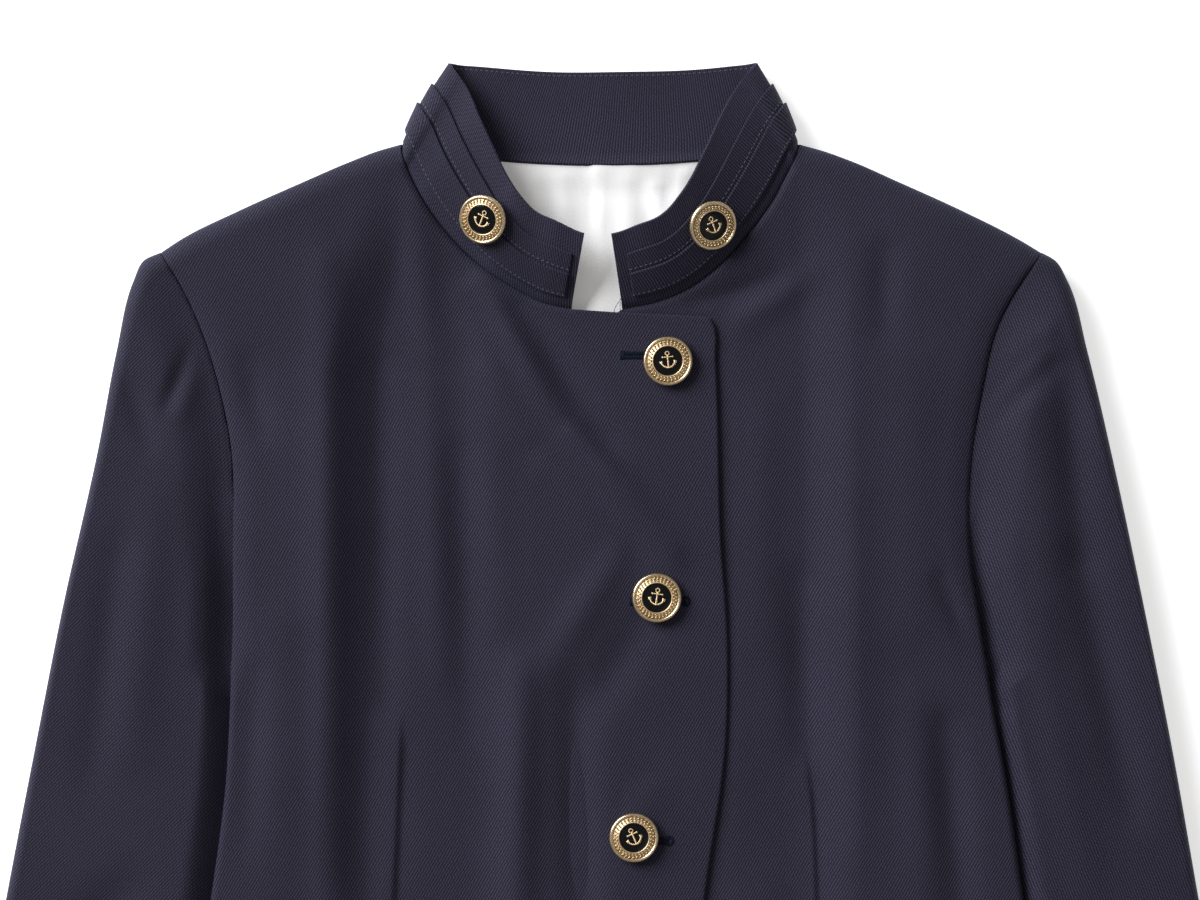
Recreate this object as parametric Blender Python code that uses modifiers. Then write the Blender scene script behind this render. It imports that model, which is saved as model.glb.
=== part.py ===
"""Stand-collar blazer in navy wool twill, laid flat on its back.

Plan sizes are in millimetres on the laid garment: `down` is the distance below the
back neck seam and `wearer_right` and `wearer_left` are distances out from the centre
line to the wearer's right and left. The wearer's right is at -X, +Y is up the
garment, and the underside lies at Z = 0.
"""
import math

import bmesh
import bpy
from mathutils import Vector

MM = 0.001
COLLECTION = "stand_collar_blazer"

# Driving dimensions, in millimetres
BACK_LENGTH = 610.0
CLOTH = 2.0
SLEEVE_CLOTH = 1.8
COLLAR_CLOTH = 2.0
STRIP_CLOTH = 1.0
LINING_CLOTH = 1.0
SEAM_GAP = 0.3
UNDERARM_GAP = 1.6
SHOULDER_POINT_GAP = 1.0
NECK_POINT_GAP = 1.3

# Heights of the cloth's outer faces over the table
FRONT_HEIGHT = 6.5
SIDE_RISE = 6.5
SHOULDER_PAD = 3.0
LAP_RISE = CLOTH + SEAM_GAP
SHOULDER_SEAM_HEIGHT = 8.5
SIDE_SEAM_HEIGHT = 9.75
SLEEVE_HEAD_HEIGHT = 17.0
CUFF_HEIGHT = 12.0
HIDDEN_SLEEVE_HEIGHT = 5.2
UNDERARM_HEIGHT = 5.0
BACK_OVER_SLEEVE = 6.5
BACK_NECK_HEIGHT = 2.9
SHOULDER_SEAM_AT_NECK = 5.5

# Folded edges: distance in from the fold, and share of the height reached there
FOLD = [
    (0.0, 0.0),
    (0.0, 0.14),
    (1.2, 0.50),
    (3.5, 0.79),
    (9.0, 1.0),
]

# The tighter fold down the sides of the body
SIDE_FOLD = [
    (0.0, 0.0),
    (0.0, 0.30),
    (0.7, 0.66),
    (2.0, 0.92),
    (4.5, 1.0),
]

# Columns: down, wearer_right, wearer_left
SHOULDER = [
    (-7.5, 88.4, 87.8),
    (-4.4, 99.0, 98.6),
    (0.0, 110.0, 110.4),
    (8.8, 130.2, 130.2),
    (22.0, 159.7, 159.3),
    (35.2, 186.1, 185.2),
    (40.5, 194.0, 194.0),
]
ARMHOLE = [
    (40.5, 194.0, 194.0),
    (52.0, 186.6, 186.0),
    (74.0, 176.2, 174.2),
    (99.0, 168.4, 168.3),
    (124.0, 163.4, 164.1),
    (175.0, 162.3, 162.7),
    (203.0, 162.3, 166.8),
    (240.0, 163.5, 172.6),
]
SIDE = [
    (240.0, 163.5, 172.6),
    (272.0, 165.2, 178.4),
    (325.0, 171.9, 186.0),
    (400.0, 184.0, 197.0),
    (480.0, 199.0, 211.0),
    (560.0, 216.0, 224.0),
    (BACK_LENGTH, 226.0, 232.0),
]
SLEEVE_OUTER = [
    (40.5, 194.3, 194.3),
    (44.0, 201.5, 200.2),
    (52.8, 205.9, 205.5),
    (83.6, 213.4, 214.3),
    (127.6, 221.8, 224.8),
    (193.6, 236.7, 238.9),
    (259.6, 249.9, 252.1),
    (321.2, 261.8, 263.1),
    (400.0, 276.0, 277.0),
    (480.0, 289.0, 290.0),
    (597.0, 303.0, 304.0),
]
SLEEVE_INNER = [
    (240.3, 163.8, 172.9),
    (241.5, 164.5, 173.8),
    (244.5, 164.7, 174.3),
    (250.0, 162.6, 172.4),
    (257.0, 159.4, 169.2),
    (266.0, 155.4, 165.0),
    (278.0, 150.2, 159.4),
    (295.0, 143.6, 151.8),
    (325.0, 136.0, 142.0),
    (360.0, 131.0, 134.0),
    (420.0, 132.0, 134.0),
    (480.0, 141.0, 142.0),
    (560.0, 165.0, 166.0),
    (609.0, 180.0, 182.0),
]
# Rings of a sleeve: distance along its outer fold, distance along the armhole seam
# where the ring's inner end lies, and distance along the inner fold below the underarm
SLEEVE_RINGS = [
    (0.0, 0.0, 0.0),
    (4.0, 46.0, 0.0),
    (10.0, 68.0, 0.0),
    (19.0, 92.0, 0.0),
    (32.0, 118.0, 0.0),
    (50.0, 142.0, 0.0),
    (76.0, 164.0, 0.0),
    (106.0, 180.0, 0.0),
    (142.0, 999.0, 0.0),
    (178.0, 999.0, 5.0),
    (212.0, 999.0, 13.0),
    (246.0, 999.0, 28.0),
    (284.0, 999.0, 54.0),
    (326.0, 999.0, 90.0),
    (372.0, 999.0, 136.0),
    (422.0, 999.0, 192.0),
    (474.0, 999.0, 254.0),
    (526.0, 999.0, 318.0),
    (999.0, 999.0, 999.0),
]
NECKLINE = [
    (-7.5, 88.4, 87.8),
    (-3.3, 88.0, 86.6),
    (5.0, 85.0, 82.7),
    (20.8, 76.6, 74.0),
    (34.0, 66.5, 63.8),
    (46.6, 53.2, 52.2),
    (56.4, 38.2, 38.9),
    (62.7, 25.6, 23.4),
    (65.4, 13.2, 9.5),
]
COLLAR_TOP = [
    (-43.3, 67.2, 69.0),
    (-33.0, 59.8, 60.6),
    (-18.5, 53.7, 52.3),
    (-5.1, 47.5, 46.2),
    (13.2, 37.8, 36.9),
    (22.0, 30.0, 30.1),
    (27.4, 21.6, 22.7),
    (30.8, 12.8, 11.8),
    (33.0, 7.6, 4.7),
]
# The inner end of the raised side of the body, down, both sides
RISE_START = [
    (-20.0, 84.0),
    (400.0, 88.0),
    (440.0, 91.0),
    (480.0, 98.0),
    (560.0, 122.0),
    (BACK_LENGTH, 137.0),
]
# Free front edges: down, across (to the wearer's left of the centre line)
LAP_TOP = [
    (65.4, -13.2),
    (66.9, 9.0),
    (67.9, 28.0),
    (69.0, 46.6),
]
LAP_EDGE = [
    (69.0, 46.6),
    (72.5, 48.9),
    (88.0, 50.6),
    (167.0, 52.9),
    (212.0, 55.9),
    (253.0, 55.4),
    (325.0, 45.8),
    (400.0, 38.0),
    (500.0, 35.0),
    (BACK_LENGTH, 34.0),
]
UNDER_TOP = [
    (65.4, 9.5),
    (68.4, 4.0),
    (69.8, -20.0),
]
UNDER_EDGE = [
    (69.8, -20.0),
    (BACK_LENGTH, -21.0),
]
# Largest folds of the body: ends (across, down), half width, height of the ridge
FRONT_FOLDS = [
    (-75.0, 20.0, -96.0, 118.0, 12.0, 1.0),
    (-31.0, 84.0, 0.0, 128.0, 9.0, 1.2),
    (-50.0, 66.0, -22.0, 102.0, 9.0, 0.9),
    (-8.0, 222.0, -26.0, 262.0, 9.0, 0.9),
    (-44.0, 215.0, -52.0, 330.0, 14.0, 1.3),
    (66.0, 52.0, 44.0, 62.0, 8.0, 0.8),
    (120.0, 70.0, 124.0, 96.0, 9.0, -1.0),
    (89.0, 196.0, 90.0, 262.0, 11.0, -1.0),
    (154.0, 240.0, 160.0, 330.0, 10.0, -1.2),
]
SLEEVE_FOLDS = [
    (204.0, 90.0, 211.0, 175.0, 12.0, -1.8),
    (211.0, 175.0, 233.0, 282.0, 12.0, -1.8),
    (171.0, 102.0, 190.0, 82.0, 7.0, -0.9),
    (-181.0, 82.0, -191.0, 107.0, 6.0, -0.9),
    (-207.0, 102.0, -198.0, 124.0, 7.0, -0.8),
]

# The middle of the whole outline comes to stand at the origin
MIDDLE_OF_OUTLINE = Vector((0.5, -283.55, 0.0))

# Distances along the seams, in millimetres, at which the cloth is worked out
ARMHOLE_STEPS = [14.0, 28.0, 46.0, 68.0, 92.0, 118.0, 142.0, 164.0, 180.0]
BACK_ARMHOLE_STEPS = [46.0, 92.0, 142.0, 180.0]
SIDE_SHARES = [0.05, 0.12, 0.22, 0.34, 0.48, 0.64, 0.81, 1.0]
BACK_SIDE_SHARES = [0.06, 0.16, 0.34, 0.6, 0.8, 1.0]
FRONT_COLUMNS = [0.10, 0.18, 0.27, 0.37, 0.47, 0.57, 0.68, 0.79, 0.90, 1.0]
NECK_STEPS = 7
BACK_SHOULDER_SHARES = [0.2, 0.42, 0.68, 0.9, 1.0]
BACK_NECK_SHARES = [0.035, 0.10, 0.28, 0.5]
BACK_NECK_DIP = 7.5
LINING_LAST_ROW = 6
LINING_HALF_WIDTH = 75.0
LINING_GAP = 0.4

COLLAR_ROWS = [0.0, 0.14, 0.44, 0.72, 1.0]
COLLAR_RISE = 15.0
COLLAR_SIDE_MIDDLE = 8.0
COLLAR_SIDE_HALF = 5.0

BUTTON_RADIUS = 11.0
ENAMEL_RADIUS = 6.4
BUTTON_HEIGHT = 4.0
# Front buttons: across, down. The last two lie below the part that the photo shows.
FRONT_BUTTONS = [
    (29.5, 88.4),
    (24.6, 192.7),
    (14.5, 298.3),
    (10.0, 403.5),
    (8.0, 508.5),
]
# Collar buttons: across, down
COLLAR_BUTTONS = {
    "button_collar_right": (-51.0, 26.0),
    "button_collar_left": (48.2, 28.6),
}
COLLAR_BUTTON_SHARE = 0.46
BUTTON_GAP = 0.3
LOWER_STRIP_LIFT = 1.4


def smooth(x):
    x = min(1.0, max(0.0, x))
    return x * x * (3.0 - 2.0 * x)


def blend(a, b, t):
    return a + (b - a) * t


def at_level(table, down, side):
    """Read a table of levels at a distance down, as a distance out."""
    column = 1 if len(table[0]) == 2 or side < 0 else 2
    if down <= table[0][0]:
        return table[0][column]
    for upper, lower in zip(table, table[1:]):
        if down <= lower[0]:
            share = (down - upper[0]) / (lower[0] - upper[0])
            return blend(upper[column], lower[column], share)
    return table[-1][column]


class Line:
    """A smooth plan line through a few points, read by distance along it."""

    def __init__(self, points, steps=16):
        points = [Vector(point) for point in points]
        first = points[0] * 2 - points[1]
        last = points[-1] * 2 - points[-2]
        padded = [first] + points + [last]
        self.points = [points[0]]
        for a, b, c, d in zip(padded, padded[1:], padded[2:], padded[3:]):
            before = max((b - a).length, 1e-6)
            span = max((c - b).length, 1e-6)
            after = max((d - c).length, 1e-6)
            start = ((b - a) / before * span + (c - b) / span * before) / (before + span) * span
            end = ((c - b) / span * after + (d - c) / after * span) / (span + after) * span
            for step in range(1, steps + 1):
                t = step / steps
                h1 = 2 * t ** 3 - 3 * t ** 2 + 1
                h2 = t ** 3 - 2 * t ** 2 + t
                h3 = -2 * t ** 3 + 3 * t ** 2
                h4 = t ** 3 - t ** 2
                self.points.append(b * h1 + start * h2 + c * h3 + end * h4)
        self.marks = [0.0]
        for a, b in zip(self.points, self.points[1:]):
            self.marks.append(self.marks[-1] + (b - a).length)
        self.length = self.marks[-1]

    def at(self, distance):
        distance = min(self.length, max(0.0, distance))
        for index in range(1, len(self.marks)):
            if distance <= self.marks[index]:
                span = max(self.marks[index] - self.marks[index - 1], 1e-9)
                share = (distance - self.marks[index - 1]) / span
                return self.points[index - 1].lerp(self.points[index], share)
        return self.points[-1].copy()


def side_line(table, side):
    column = 1 if side < 0 else 2
    return Line([(side * row[column], -row[0]) for row in table])


def across_line(table):
    return Line([(row[1], -row[0]) for row in table])


def spaced(length, count):
    return [length * step / count for step in range(1, count + 1)]


def fold_relief(folds, x, down):
    """Height added by the hand-placed folds at a point."""
    total = 0.0
    for x0, down0, x1, down1, half_width, height in folds:
        run = Vector((x1 - x0, down1 - down0))
        offset = Vector((x - x0, down - down0))
        share = min(1.0, max(0.0, offset.dot(run) / run.length_squared))
        distance = (offset - run * share).length
        total += height * math.exp(-(distance / half_width) ** 2)
    return total


SHOULDER_LINES = {side: side_line(SHOULDER, side) for side in (-1, 1)}
ARMHOLE_LINES = {side: side_line(ARMHOLE, side) for side in (-1, 1)}
SIDE_LINES = {side: side_line(SIDE, side) for side in (-1, 1)}
NECK_LINES = {side: side_line(NECKLINE, side) for side in (-1, 1)}


def below_shoulder(x, down):
    """Distance of a point below the shoulder line."""
    table = [(row[1], row[0]) for row in SHOULDER]
    return down - at_level(table, abs(x), -1)


def front_top(x, down, laps):
    """Height of a front's outer face away from its edges."""
    outward = smooth((abs(x) - at_level(RISE_START, down, -1)) / 27.0)
    upward = smooth(1.0 - below_shoulder(x, down) / 80.0)
    pad = smooth((abs(x) - 90.0) / 70.0) * smooth(1.0 - below_shoulder(x, down) / 110.0)
    rise = 1.0 - (1.0 - outward) * (1.0 - upward)
    folds = fold_relief(FRONT_FOLDS, x, down)
    if not laps:
        folds *= smooth((x - 48.0) / 12.0)
    return FRONT_HEIGHT + SIDE_RISE * rise + SHOULDER_PAD * pad + folds


def back_lift(x, down):
    """How far the sleeve beneath holds up the back's under face."""
    side = -1 if x < 0 else 1
    if down < 200.0:
        return 0.0
    edge = at_level(SLEEVE_INNER, max(down, 254.0), side)
    shown = smooth((down - 200.0) / 38.0)
    return BACK_OVER_SLEEVE * shown * smooth((abs(x) - edge + 43.0) / 26.0)


def fold_height(seam, top, share):
    return seam + (top - seam) * share


def armhole_dip(row_distance, inward):
    """The soft crease where the body meets the sleeve seam."""
    depth = 2.0 * smooth(row_distance / 30.0)
    near = max(0.0, 1.0 - inward / 13.0)
    return depth * near * near


def seam_rows(steps, shares, length):
    """Rows of a panel: fold rows, then armhole rows, then rows of the side seam."""
    rows = [("shoulder", distance, share) for distance, share in FOLD]
    rows += [("armhole", distance, 1.0) for distance in steps]
    rows.append(("underarm", length, 1.0))
    rows += [("side", share, 1.0) for share in shares]
    return rows


def outer_edge_point(side, row):
    kind, distance, _ = row
    if kind == "side":
        return SIDE_LINES[side].at(distance * SIDE_LINES[side].length)
    return ARMHOLE_LINES[side].at(distance)


def side_fold_share(row):
    """1 where the outer edge is a fold, 0 where it is the armhole seam."""
    return 1.0 if row[0] in ("side", "underarm") else 0.0


def side_seam_gap(row):
    """Gap of the side seam, a little wider where it meets the sleeve."""
    if row[0] == "side":
        return blend(SEAM_GAP, UNDERARM_GAP, max(0.0, 1.0 - row[1] / 0.2))
    return UNDERARM_GAP


def shoulder_seam_gap(x):
    """Gap of the shoulder seam, a little wider at the neck."""
    return blend(NECK_POINT_GAP, SEAM_GAP, smooth((abs(x) - 88.0) / 24.0))


def shoulder_seam(x):
    """Height of the shoulder seam, which sinks towards the neck."""
    return blend(SHOULDER_SEAM_AT_NECK, SHOULDER_SEAM_HEIGHT, smooth((abs(x) - 88.0) / 34.0))


def edge_columns(folded):
    """Columns next to the outer edge: a fold at the side, even steps at the armhole."""
    columns = []
    for count, (inward, share) in enumerate(SIDE_FOLD):
        columns.append((blend(1.1 * count, inward, folded), share))
    return columns


def front_height(row, column, x, down, laps):
    top = front_top(x, down, laps)
    if laps:
        top += LAP_RISE * smooth((x + 62.0) / 34.0)
    _, distance, shoulder_share = row
    inward, side_share = column
    folded = side_fold_share(row)
    soft = top - armhole_dip(distance if row[0] != "side" else 999.0, inward) * (1.0 - folded)
    if inward < 9.0:
        seam = SIDE_SEAM_HEIGHT + side_seam_gap(row) / 2
        soft = blend(soft, fold_height(seam, top, side_share), folded)
    if shoulder_share < 1.0:
        seam = shoulder_seam(x) + shoulder_seam_gap(x) / 2
        soft = fold_height(seam, soft, shoulder_share)
    return soft


def front_grid(side, top_line, edge_line, laps):
    """Points of a front, a row at a time, from its outer edge to its front edge."""
    neck_line = NECK_LINES[side]
    armhole = ARMHOLE_LINES[side]
    rows = seam_rows(ARMHOLE_STEPS, SIDE_SHARES, armhole.length)
    inner = [neck_line.at(distance) for distance, _ in FOLD]
    neck_left = neck_line.length - FOLD[-1][0]
    inner += [neck_line.at(FOLD[-1][0] + d) for d in spaced(neck_left, NECK_STEPS)]
    inner += [top_line.at(d) for d in spaced(top_line.length, 3)]
    remaining = len(rows) - len(inner)
    inner += [edge_line.at(edge_line.length * (n / remaining) ** 1.25) for n in range(1, remaining + 1)]
    shoulder = SHOULDER_LINES[side]
    grid = []
    for index, row in enumerate(rows):
        start = outer_edge_point(side, row)
        end = inner[index]
        run = end - start
        folded = side_fold_share(row)
        curve_share = smooth(1.0 - index / 12.0)
        columns = edge_columns(folded)
        near = columns[-1][0]
        columns += [(blend(near, run.length, share), 1.0) for share in FRONT_COLUMNS]
        line = []
        for column in columns:
            share = column[0] / run.length
            along = shoulder.at(shoulder.length * (1.0 - share))
            straight = shoulder.at(shoulder.length).lerp(shoulder.at(0.0), share)
            place = start.lerp(end, share) + (along - straight) * curve_share
            height = front_height(row, column, place.x, -place.y, laps)
            line.append(Vector((place.x, place.y, height)))
        grid.append(line)
    return grid


def back_neck_point(share):
    x = blend(-NECKLINE[0][1], NECKLINE[0][2], share)
    return Vector((x, BACK_NECK_DIP * (abs(x) / 88.0) ** 2))


def back_top_points():
    """Points along the back's top edge: shoulder, neckline, shoulder."""
    halves = {}
    for side in (-1, 1):
        line = SHOULDER_LINES[side]
        reach = line.length - SIDE_FOLD[-1][0]
        points = [line.at(line.length - distance) for distance, _ in SIDE_FOLD]
        points += [line.at(reach * (1.0 - share)) for share in BACK_SHOULDER_SHARES]
        halves[side] = points
    neck = [back_neck_point(share) for share in BACK_NECK_SHARES]
    neck += [back_neck_point(1.0 - share) for share in reversed(BACK_NECK_SHARES[:-1])]
    return halves[-1] + neck + list(reversed(halves[1])), len(halves[-1])


def back_grid():
    """Points of the back's under face, from the wearer's right side to the left."""
    top, edge_count = back_top_points()
    shares = [0.0]
    for a, b in zip(top, top[1:]):
        shares.append(shares[-1] + (b - a).length)
    shares = [value / shares[-1] for value in shares]
    grid = []
    seam_length = ARMHOLE_LINES[-1].length
    for row_index, row in enumerate(seam_rows(BACK_ARMHOLE_STEPS, BACK_SIDE_SHARES, seam_length)):
        ends = {side: outer_edge_point(side, row) for side in (-1, 1)}
        still_curved = 1.0 - (top[0].y - ends[-1].y) / (top[0].y + BACK_LENGTH)
        line = []
        for index, point in enumerate(top):
            share = shares[index]
            from_edge = min(index, len(top) - 1 - index)
            side = -1 if index < len(top) / 2 else 1
            curve = (point - top[0].lerp(top[-1], share)) * still_curved
            place = ends[-1].lerp(ends[1], share) + curve
            column = (99.0, 1.0)
            if from_edge < len(SIDE_FOLD):
                column = edge_columns(side_fold_share(row))[from_edge]
                place = Vector((ends[side].x - side * column[0], ends[side].y + curve.y))
            on_neck = from_edge >= edge_count
            if on_neck and row_index == 1:
                place.y -= 0.6 * (1.0 - neck_corner(place.x))
            height = back_height(row, column, place, on_neck)
            line.append(Vector((place.x, place.y, height)))
        grid.append(line)
    return grid


def neck_corner(x):
    """1 at the neck end of a shoulder seam, 0 along the middle of the back neckline."""
    return smooth(1.0 - (88.0 - min(88.0, abs(x))) / 9.0)


def back_height(row, column, place, on_neck):
    """Height of the back's under face."""
    inward, side_share = column
    shoulder_share = row[2]
    base = back_lift(place.x, -place.y)
    if inward < 9.0:
        seam = SIDE_SEAM_HEIGHT - side_seam_gap(row) / 2
        base = blend(base, fold_height(seam, base, side_share), side_fold_share(row))
    if row[0] == "shoulder" and not on_neck:
        seam = shoulder_seam(place.x) - shoulder_seam_gap(place.x) / 2
        base = fold_height(seam, base, shoulder_share)
    if on_neck:
        corner = neck_corner(place.x)
        edge = blend(BACK_NECK_HEIGHT, shoulder_seam(88.0) - NECK_POINT_GAP / 2, corner)
        from_neck = BACK_NECK_DIP * (place.x / 88.0) ** 2 - place.y
        soft = smooth(1.0 - from_neck / 16.0)
        base = max(base, edge * blend(soft, 1.0 - shoulder_share, corner))
    return base


def lining_grid(back):
    """Points of the lining's upper face, which lies on the inside of the back."""
    columns = [n for n in range(len(back[0])) if abs(back[0][n].x) < LINING_HALF_WIDTH]
    rise = Vector((0.0, 0.0, CLOTH + LINING_GAP + LINING_CLOTH))
    rows = back[2:LINING_LAST_ROW + 1]
    return [[row[n] + rise for n in columns] for row in rows]


def place_in_row(point):
    return (point - MIDDLE_OF_OUTLINE) * MM


def new_collection(name):
    collection = bpy.data.collections.new(name)
    bpy.context.scene.collection.children.link(collection)
    return collection


def cloth_from_grid(name, grid, thickness, material, collection, ring=False, flip=False):
    """A wall of cloth whose outer face runs through a grid of points."""
    mesh_points = bmesh.new()
    across = len(grid[0]) - 1
    along = len(grid) - 1
    bmesh.ops.create_grid(mesh_points, x_segments=across, y_segments=along, size=0.5)
    mesh_points.verts.ensure_lookup_table()
    for vertex in mesh_points.verts:
        column = round((vertex.co.x + 0.5) * across)
        row = round((vertex.co.y + 0.5) * along)
        vertex.co = place_in_row(grid[row][column])
    if ring:
        bmesh.ops.remove_doubles(mesh_points, verts=mesh_points.verts, dist=0.00001)
    if flip:
        bmesh.ops.reverse_faces(mesh_points, faces=mesh_points.faces)
    mesh = bpy.data.meshes.new(name)
    mesh_points.to_mesh(mesh)
    mesh_points.free()
    mesh.materials.append(material)
    mesh.shade_smooth()
    piece = bpy.data.objects.new(name, mesh)
    collection.objects.link(piece)
    wall = piece.modifiers.new("cloth thickness", "SOLIDIFY")
    wall.thickness = thickness * MM
    wall.offset = -1.0
    wall.use_even_offset = False
    return piece


def finish(name, colour, roughness, metallic=0.0, sheen=0.0):
    material = bpy.data.materials.new(name)
    material.use_nodes = True
    shader = material.node_tree.nodes["Principled BSDF"]
    shader.inputs["Base Color"].default_value = (*colour, 1.0)
    shader.inputs["Roughness"].default_value = roughness
    shader.inputs["Metallic"].default_value = metallic
    shader.inputs["Sheen Weight"].default_value = sheen
    material.diffuse_color = (*colour, 1.0)
    return material


def sleeve_level(side, place, upper, fold):
    """Height of a sleeve's outer face away from its armhole seam."""
    down = -place.y
    crown = blend(SLEEVE_HEAD_HEIGHT, CUFF_HEIGHT, smooth(down / 600.0))
    outside = abs(place.x) - at_level(SIDE, max(down, 240.0), side)
    hidden = smooth((down - 185.0) / 52.0)
    valley = blend(1.0, smooth((outside - 4.0) / 26.0), hidden)
    height = blend(HIDDEN_SLEEVE_HEIGHT, crown, valley)
    if upper:
        height += fold_relief(SLEEVE_FOLDS, place.x, down) * valley
    middle = height / 2
    return middle + middle * fold if upper else middle - middle * fold


def sleeve_grid(side, front, back):
    """Rings of a sleeve, from the armhole seam down to the cuff."""
    outer = side_line(SLEEVE_OUTER, side)
    inner = side_line(SLEEVE_INNER, side)
    seam = ARMHOLE_LINES[side]
    fold_count = len(FOLD)
    edges = {
        True: [line[0] for line in front[:fold_count + len(ARMHOLE_STEPS) + 1]],
        False: [line[0 if side < 0 else -1] for line in back[:fold_count + len(BACK_ARMHOLE_STEPS) + 1]],
    }
    marks = {
        True: [d for d, _ in FOLD] + ARMHOLE_STEPS + [seam.length],
        False: [d for d, _ in FOLD] + BACK_ARMHOLE_STEPS + [seam.length],
    }
    away = Vector((side * SEAM_GAP, 0.0, 0.0))
    under_shoulder = Vector((side * 0.84, -0.54, 0.0)) * SHOULDER_POINT_GAP

    def seam_point(index, upper):
        point = edges[upper][index] + away
        if index == 0 or not upper and index < fold_count:
            point += under_shoulder
        if index == 0:
            point.z = SHOULDER_SEAM_HEIGHT
        if index == len(edges[upper]) - 1:
            point.z = UNDERARM_HEIGHT
        return point

    def seam_level(mark, upper):
        for index in range(1, len(marks[upper])):
            if mark <= marks[upper][index]:
                span = marks[upper][index] - marks[upper][index - 1]
                share = (mark - marks[upper][index - 1]) / max(span, 0.001)
                return blend(seam_point(index - 1, upper).z, seam_point(index, upper).z, share)
        return UNDERARM_HEIGHT

    def station(ring, index, upper):
        outer_reach, seam_reach, inner_reach = ring
        mark = marks[upper][index]
        seam_reach = min(seam_reach, seam.length)
        if mark >= seam_reach and inner_reach == 0.0:
            return seam_point(index, upper)
        along = mark / seam_reach
        chord_start = outer.at(outer_reach)
        chord_end = inner.at(inner_reach) if inner_reach > 0.0 else seam.at(seam_reach) + away.xy
        follow = max(0.0, 1.0 - outer_reach / 190.0) ** 2
        bulge = seam.at(mark) - seam.at(0.0).lerp(seam.at(seam_reach), along)
        place = chord_start.lerp(chord_end, along) + bulge * follow
        fold = FOLD[index][1] if index < fold_count else 1.0
        if along > 0.999:
            fold = 0.0
        nearest = min(range(len(seam.points)), key=lambda n: (seam.points[n] - place).length)
        distance = (seam.points[nearest] - place).length
        ramp = 24.0 if upper else 11.0
        if inner_reach > 0.0:
            ramp = blend(ramp, 6.0, along ** 4)
        joined = smooth(distance / ramp)
        if index < fold_count:
            start_level = seam_point(index, upper).z
        else:
            start_level = seam_level(seam.marks[nearest], upper)
        level = sleeve_level(side, place, upper, fold)
        return Vector((place.x, place.y, blend(start_level, level, joined)))

    grid = []
    for ring in SLEEVE_RINGS:
        points = [station(ring, index, True) for index in range(len(marks[True]))]
        points += [station(ring, index, False) for index in reversed(range(1, len(marks[False]) - 1))]
        points.append(points[0].copy())
        grid.append(points)
    return grid


def collar_columns(front_right, front_left, back):
    """Neckline and top-edge points of the collar, from the right front end round to the left."""
    fold_count = len(FOLD)
    count = fold_count + NECK_STEPS
    neck = {-1: [line[-1] for line in front_right[:count]], 1: [line[-1] for line in front_left[:count]]}
    tops = {side: side_line(COLLAR_TOP, side) for side in (-1, 1)}
    columns = []

    def front_half(side):
        half = []
        top = tops[side]
        neck_length = NECK_LINES[side].length
        for index in range(count):
            foot = neck[side][index]
            if index < fold_count:
                mark, share = FOLD[index]
            else:
                mark = FOLD[-1][0] + (neck_length - FOLD[-1][0]) * (index - fold_count + 1) / NECK_STEPS
                share = 1.0
            reach = mark / neck_length
            edge = top.at(mark if index < fold_count else top.length * reach)
            side_level = COLLAR_SIDE_MIDDLE + COLLAR_SIDE_HALF * share
            level = blend(side_level, foot.z + COLLAR_RISE, smooth(reach * 1.6))
            gap = SEAM_GAP if index >= fold_count else SHOULDER_POINT_GAP
            inward = (edge - foot.xy).normalized() * gap
            place = Vector((foot.x + inward.x, foot.y + inward.y, foot.z))
            half.append((place, Vector((edge.x, edge.y, level))))
        return half

    columns += list(reversed(front_half(-1)))
    neck_columns = [n for n in range(len(back[0])) if abs(back[0][n].x) < 87.0]
    right_corner, left_corner = tops[-1].at(0.0), tops[1].at(0.0)
    low, high = back[0][neck_columns[0] - 1].x, back[0][neck_columns[-1] + 1].x
    drop = Vector((0.0, 0.0, 1.3))
    columns.append((columns[-1][0] - drop, columns[-1][1] - drop))
    for n in neck_columns:
        foot = back[0][n]
        share = (foot.x - low) / (high - low)
        x = blend(right_corner.x, left_corner.x, share)
        y = 39.6 + 3.7 * (abs(x) / 67.0) ** 2
        to_side = min(share, 1.0 - share) * (high - low)
        near_side = max(0.0, 1.0 - to_side / 12.0) ** 2
        level = blend(BACK_NECK_HEIGHT, COLLAR_SIDE_MIDDLE, near_side)
        gap = blend(SEAM_GAP, SHOULDER_POINT_GAP, neck_corner(foot.x))
        columns.append((Vector((foot.x, foot.y + gap, foot.z)), Vector((x, y, level))))
    left_half = front_half(1)
    columns.append((left_half[0][0] - drop, left_half[0][1] - drop))
    columns += left_half
    return columns


def collar_points(columns, rows, lift_of_row, ends=(0.0, 0.0)):
    """Rows of points on the collar, raised off its outer face."""
    count = len(columns)
    normals = []
    for index in range(count):
        before = columns[max(0, index - 1)]
        after = columns[min(count - 1, index + 1)]
        along = (after[0] + after[1]) - (before[0] + before[1])
        up = columns[index][1] - columns[index][0]
        normals.append(up.cross(along).normalized())
    grid = []
    for share, lift in zip(rows, lift_of_row):
        line = []
        for index in range(count):
            foot, top = columns[index]
            line.append(foot.lerp(top, share) + normals[index] * lift)
        for end, inner, trim in ((0, 1, ends[0]), (-1, -2, ends[1])):
            span = (line[inner] - line[end]).length
            line[end] = line[end].lerp(line[inner], trim / span)
        grid.append(line)
    return grid


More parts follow.
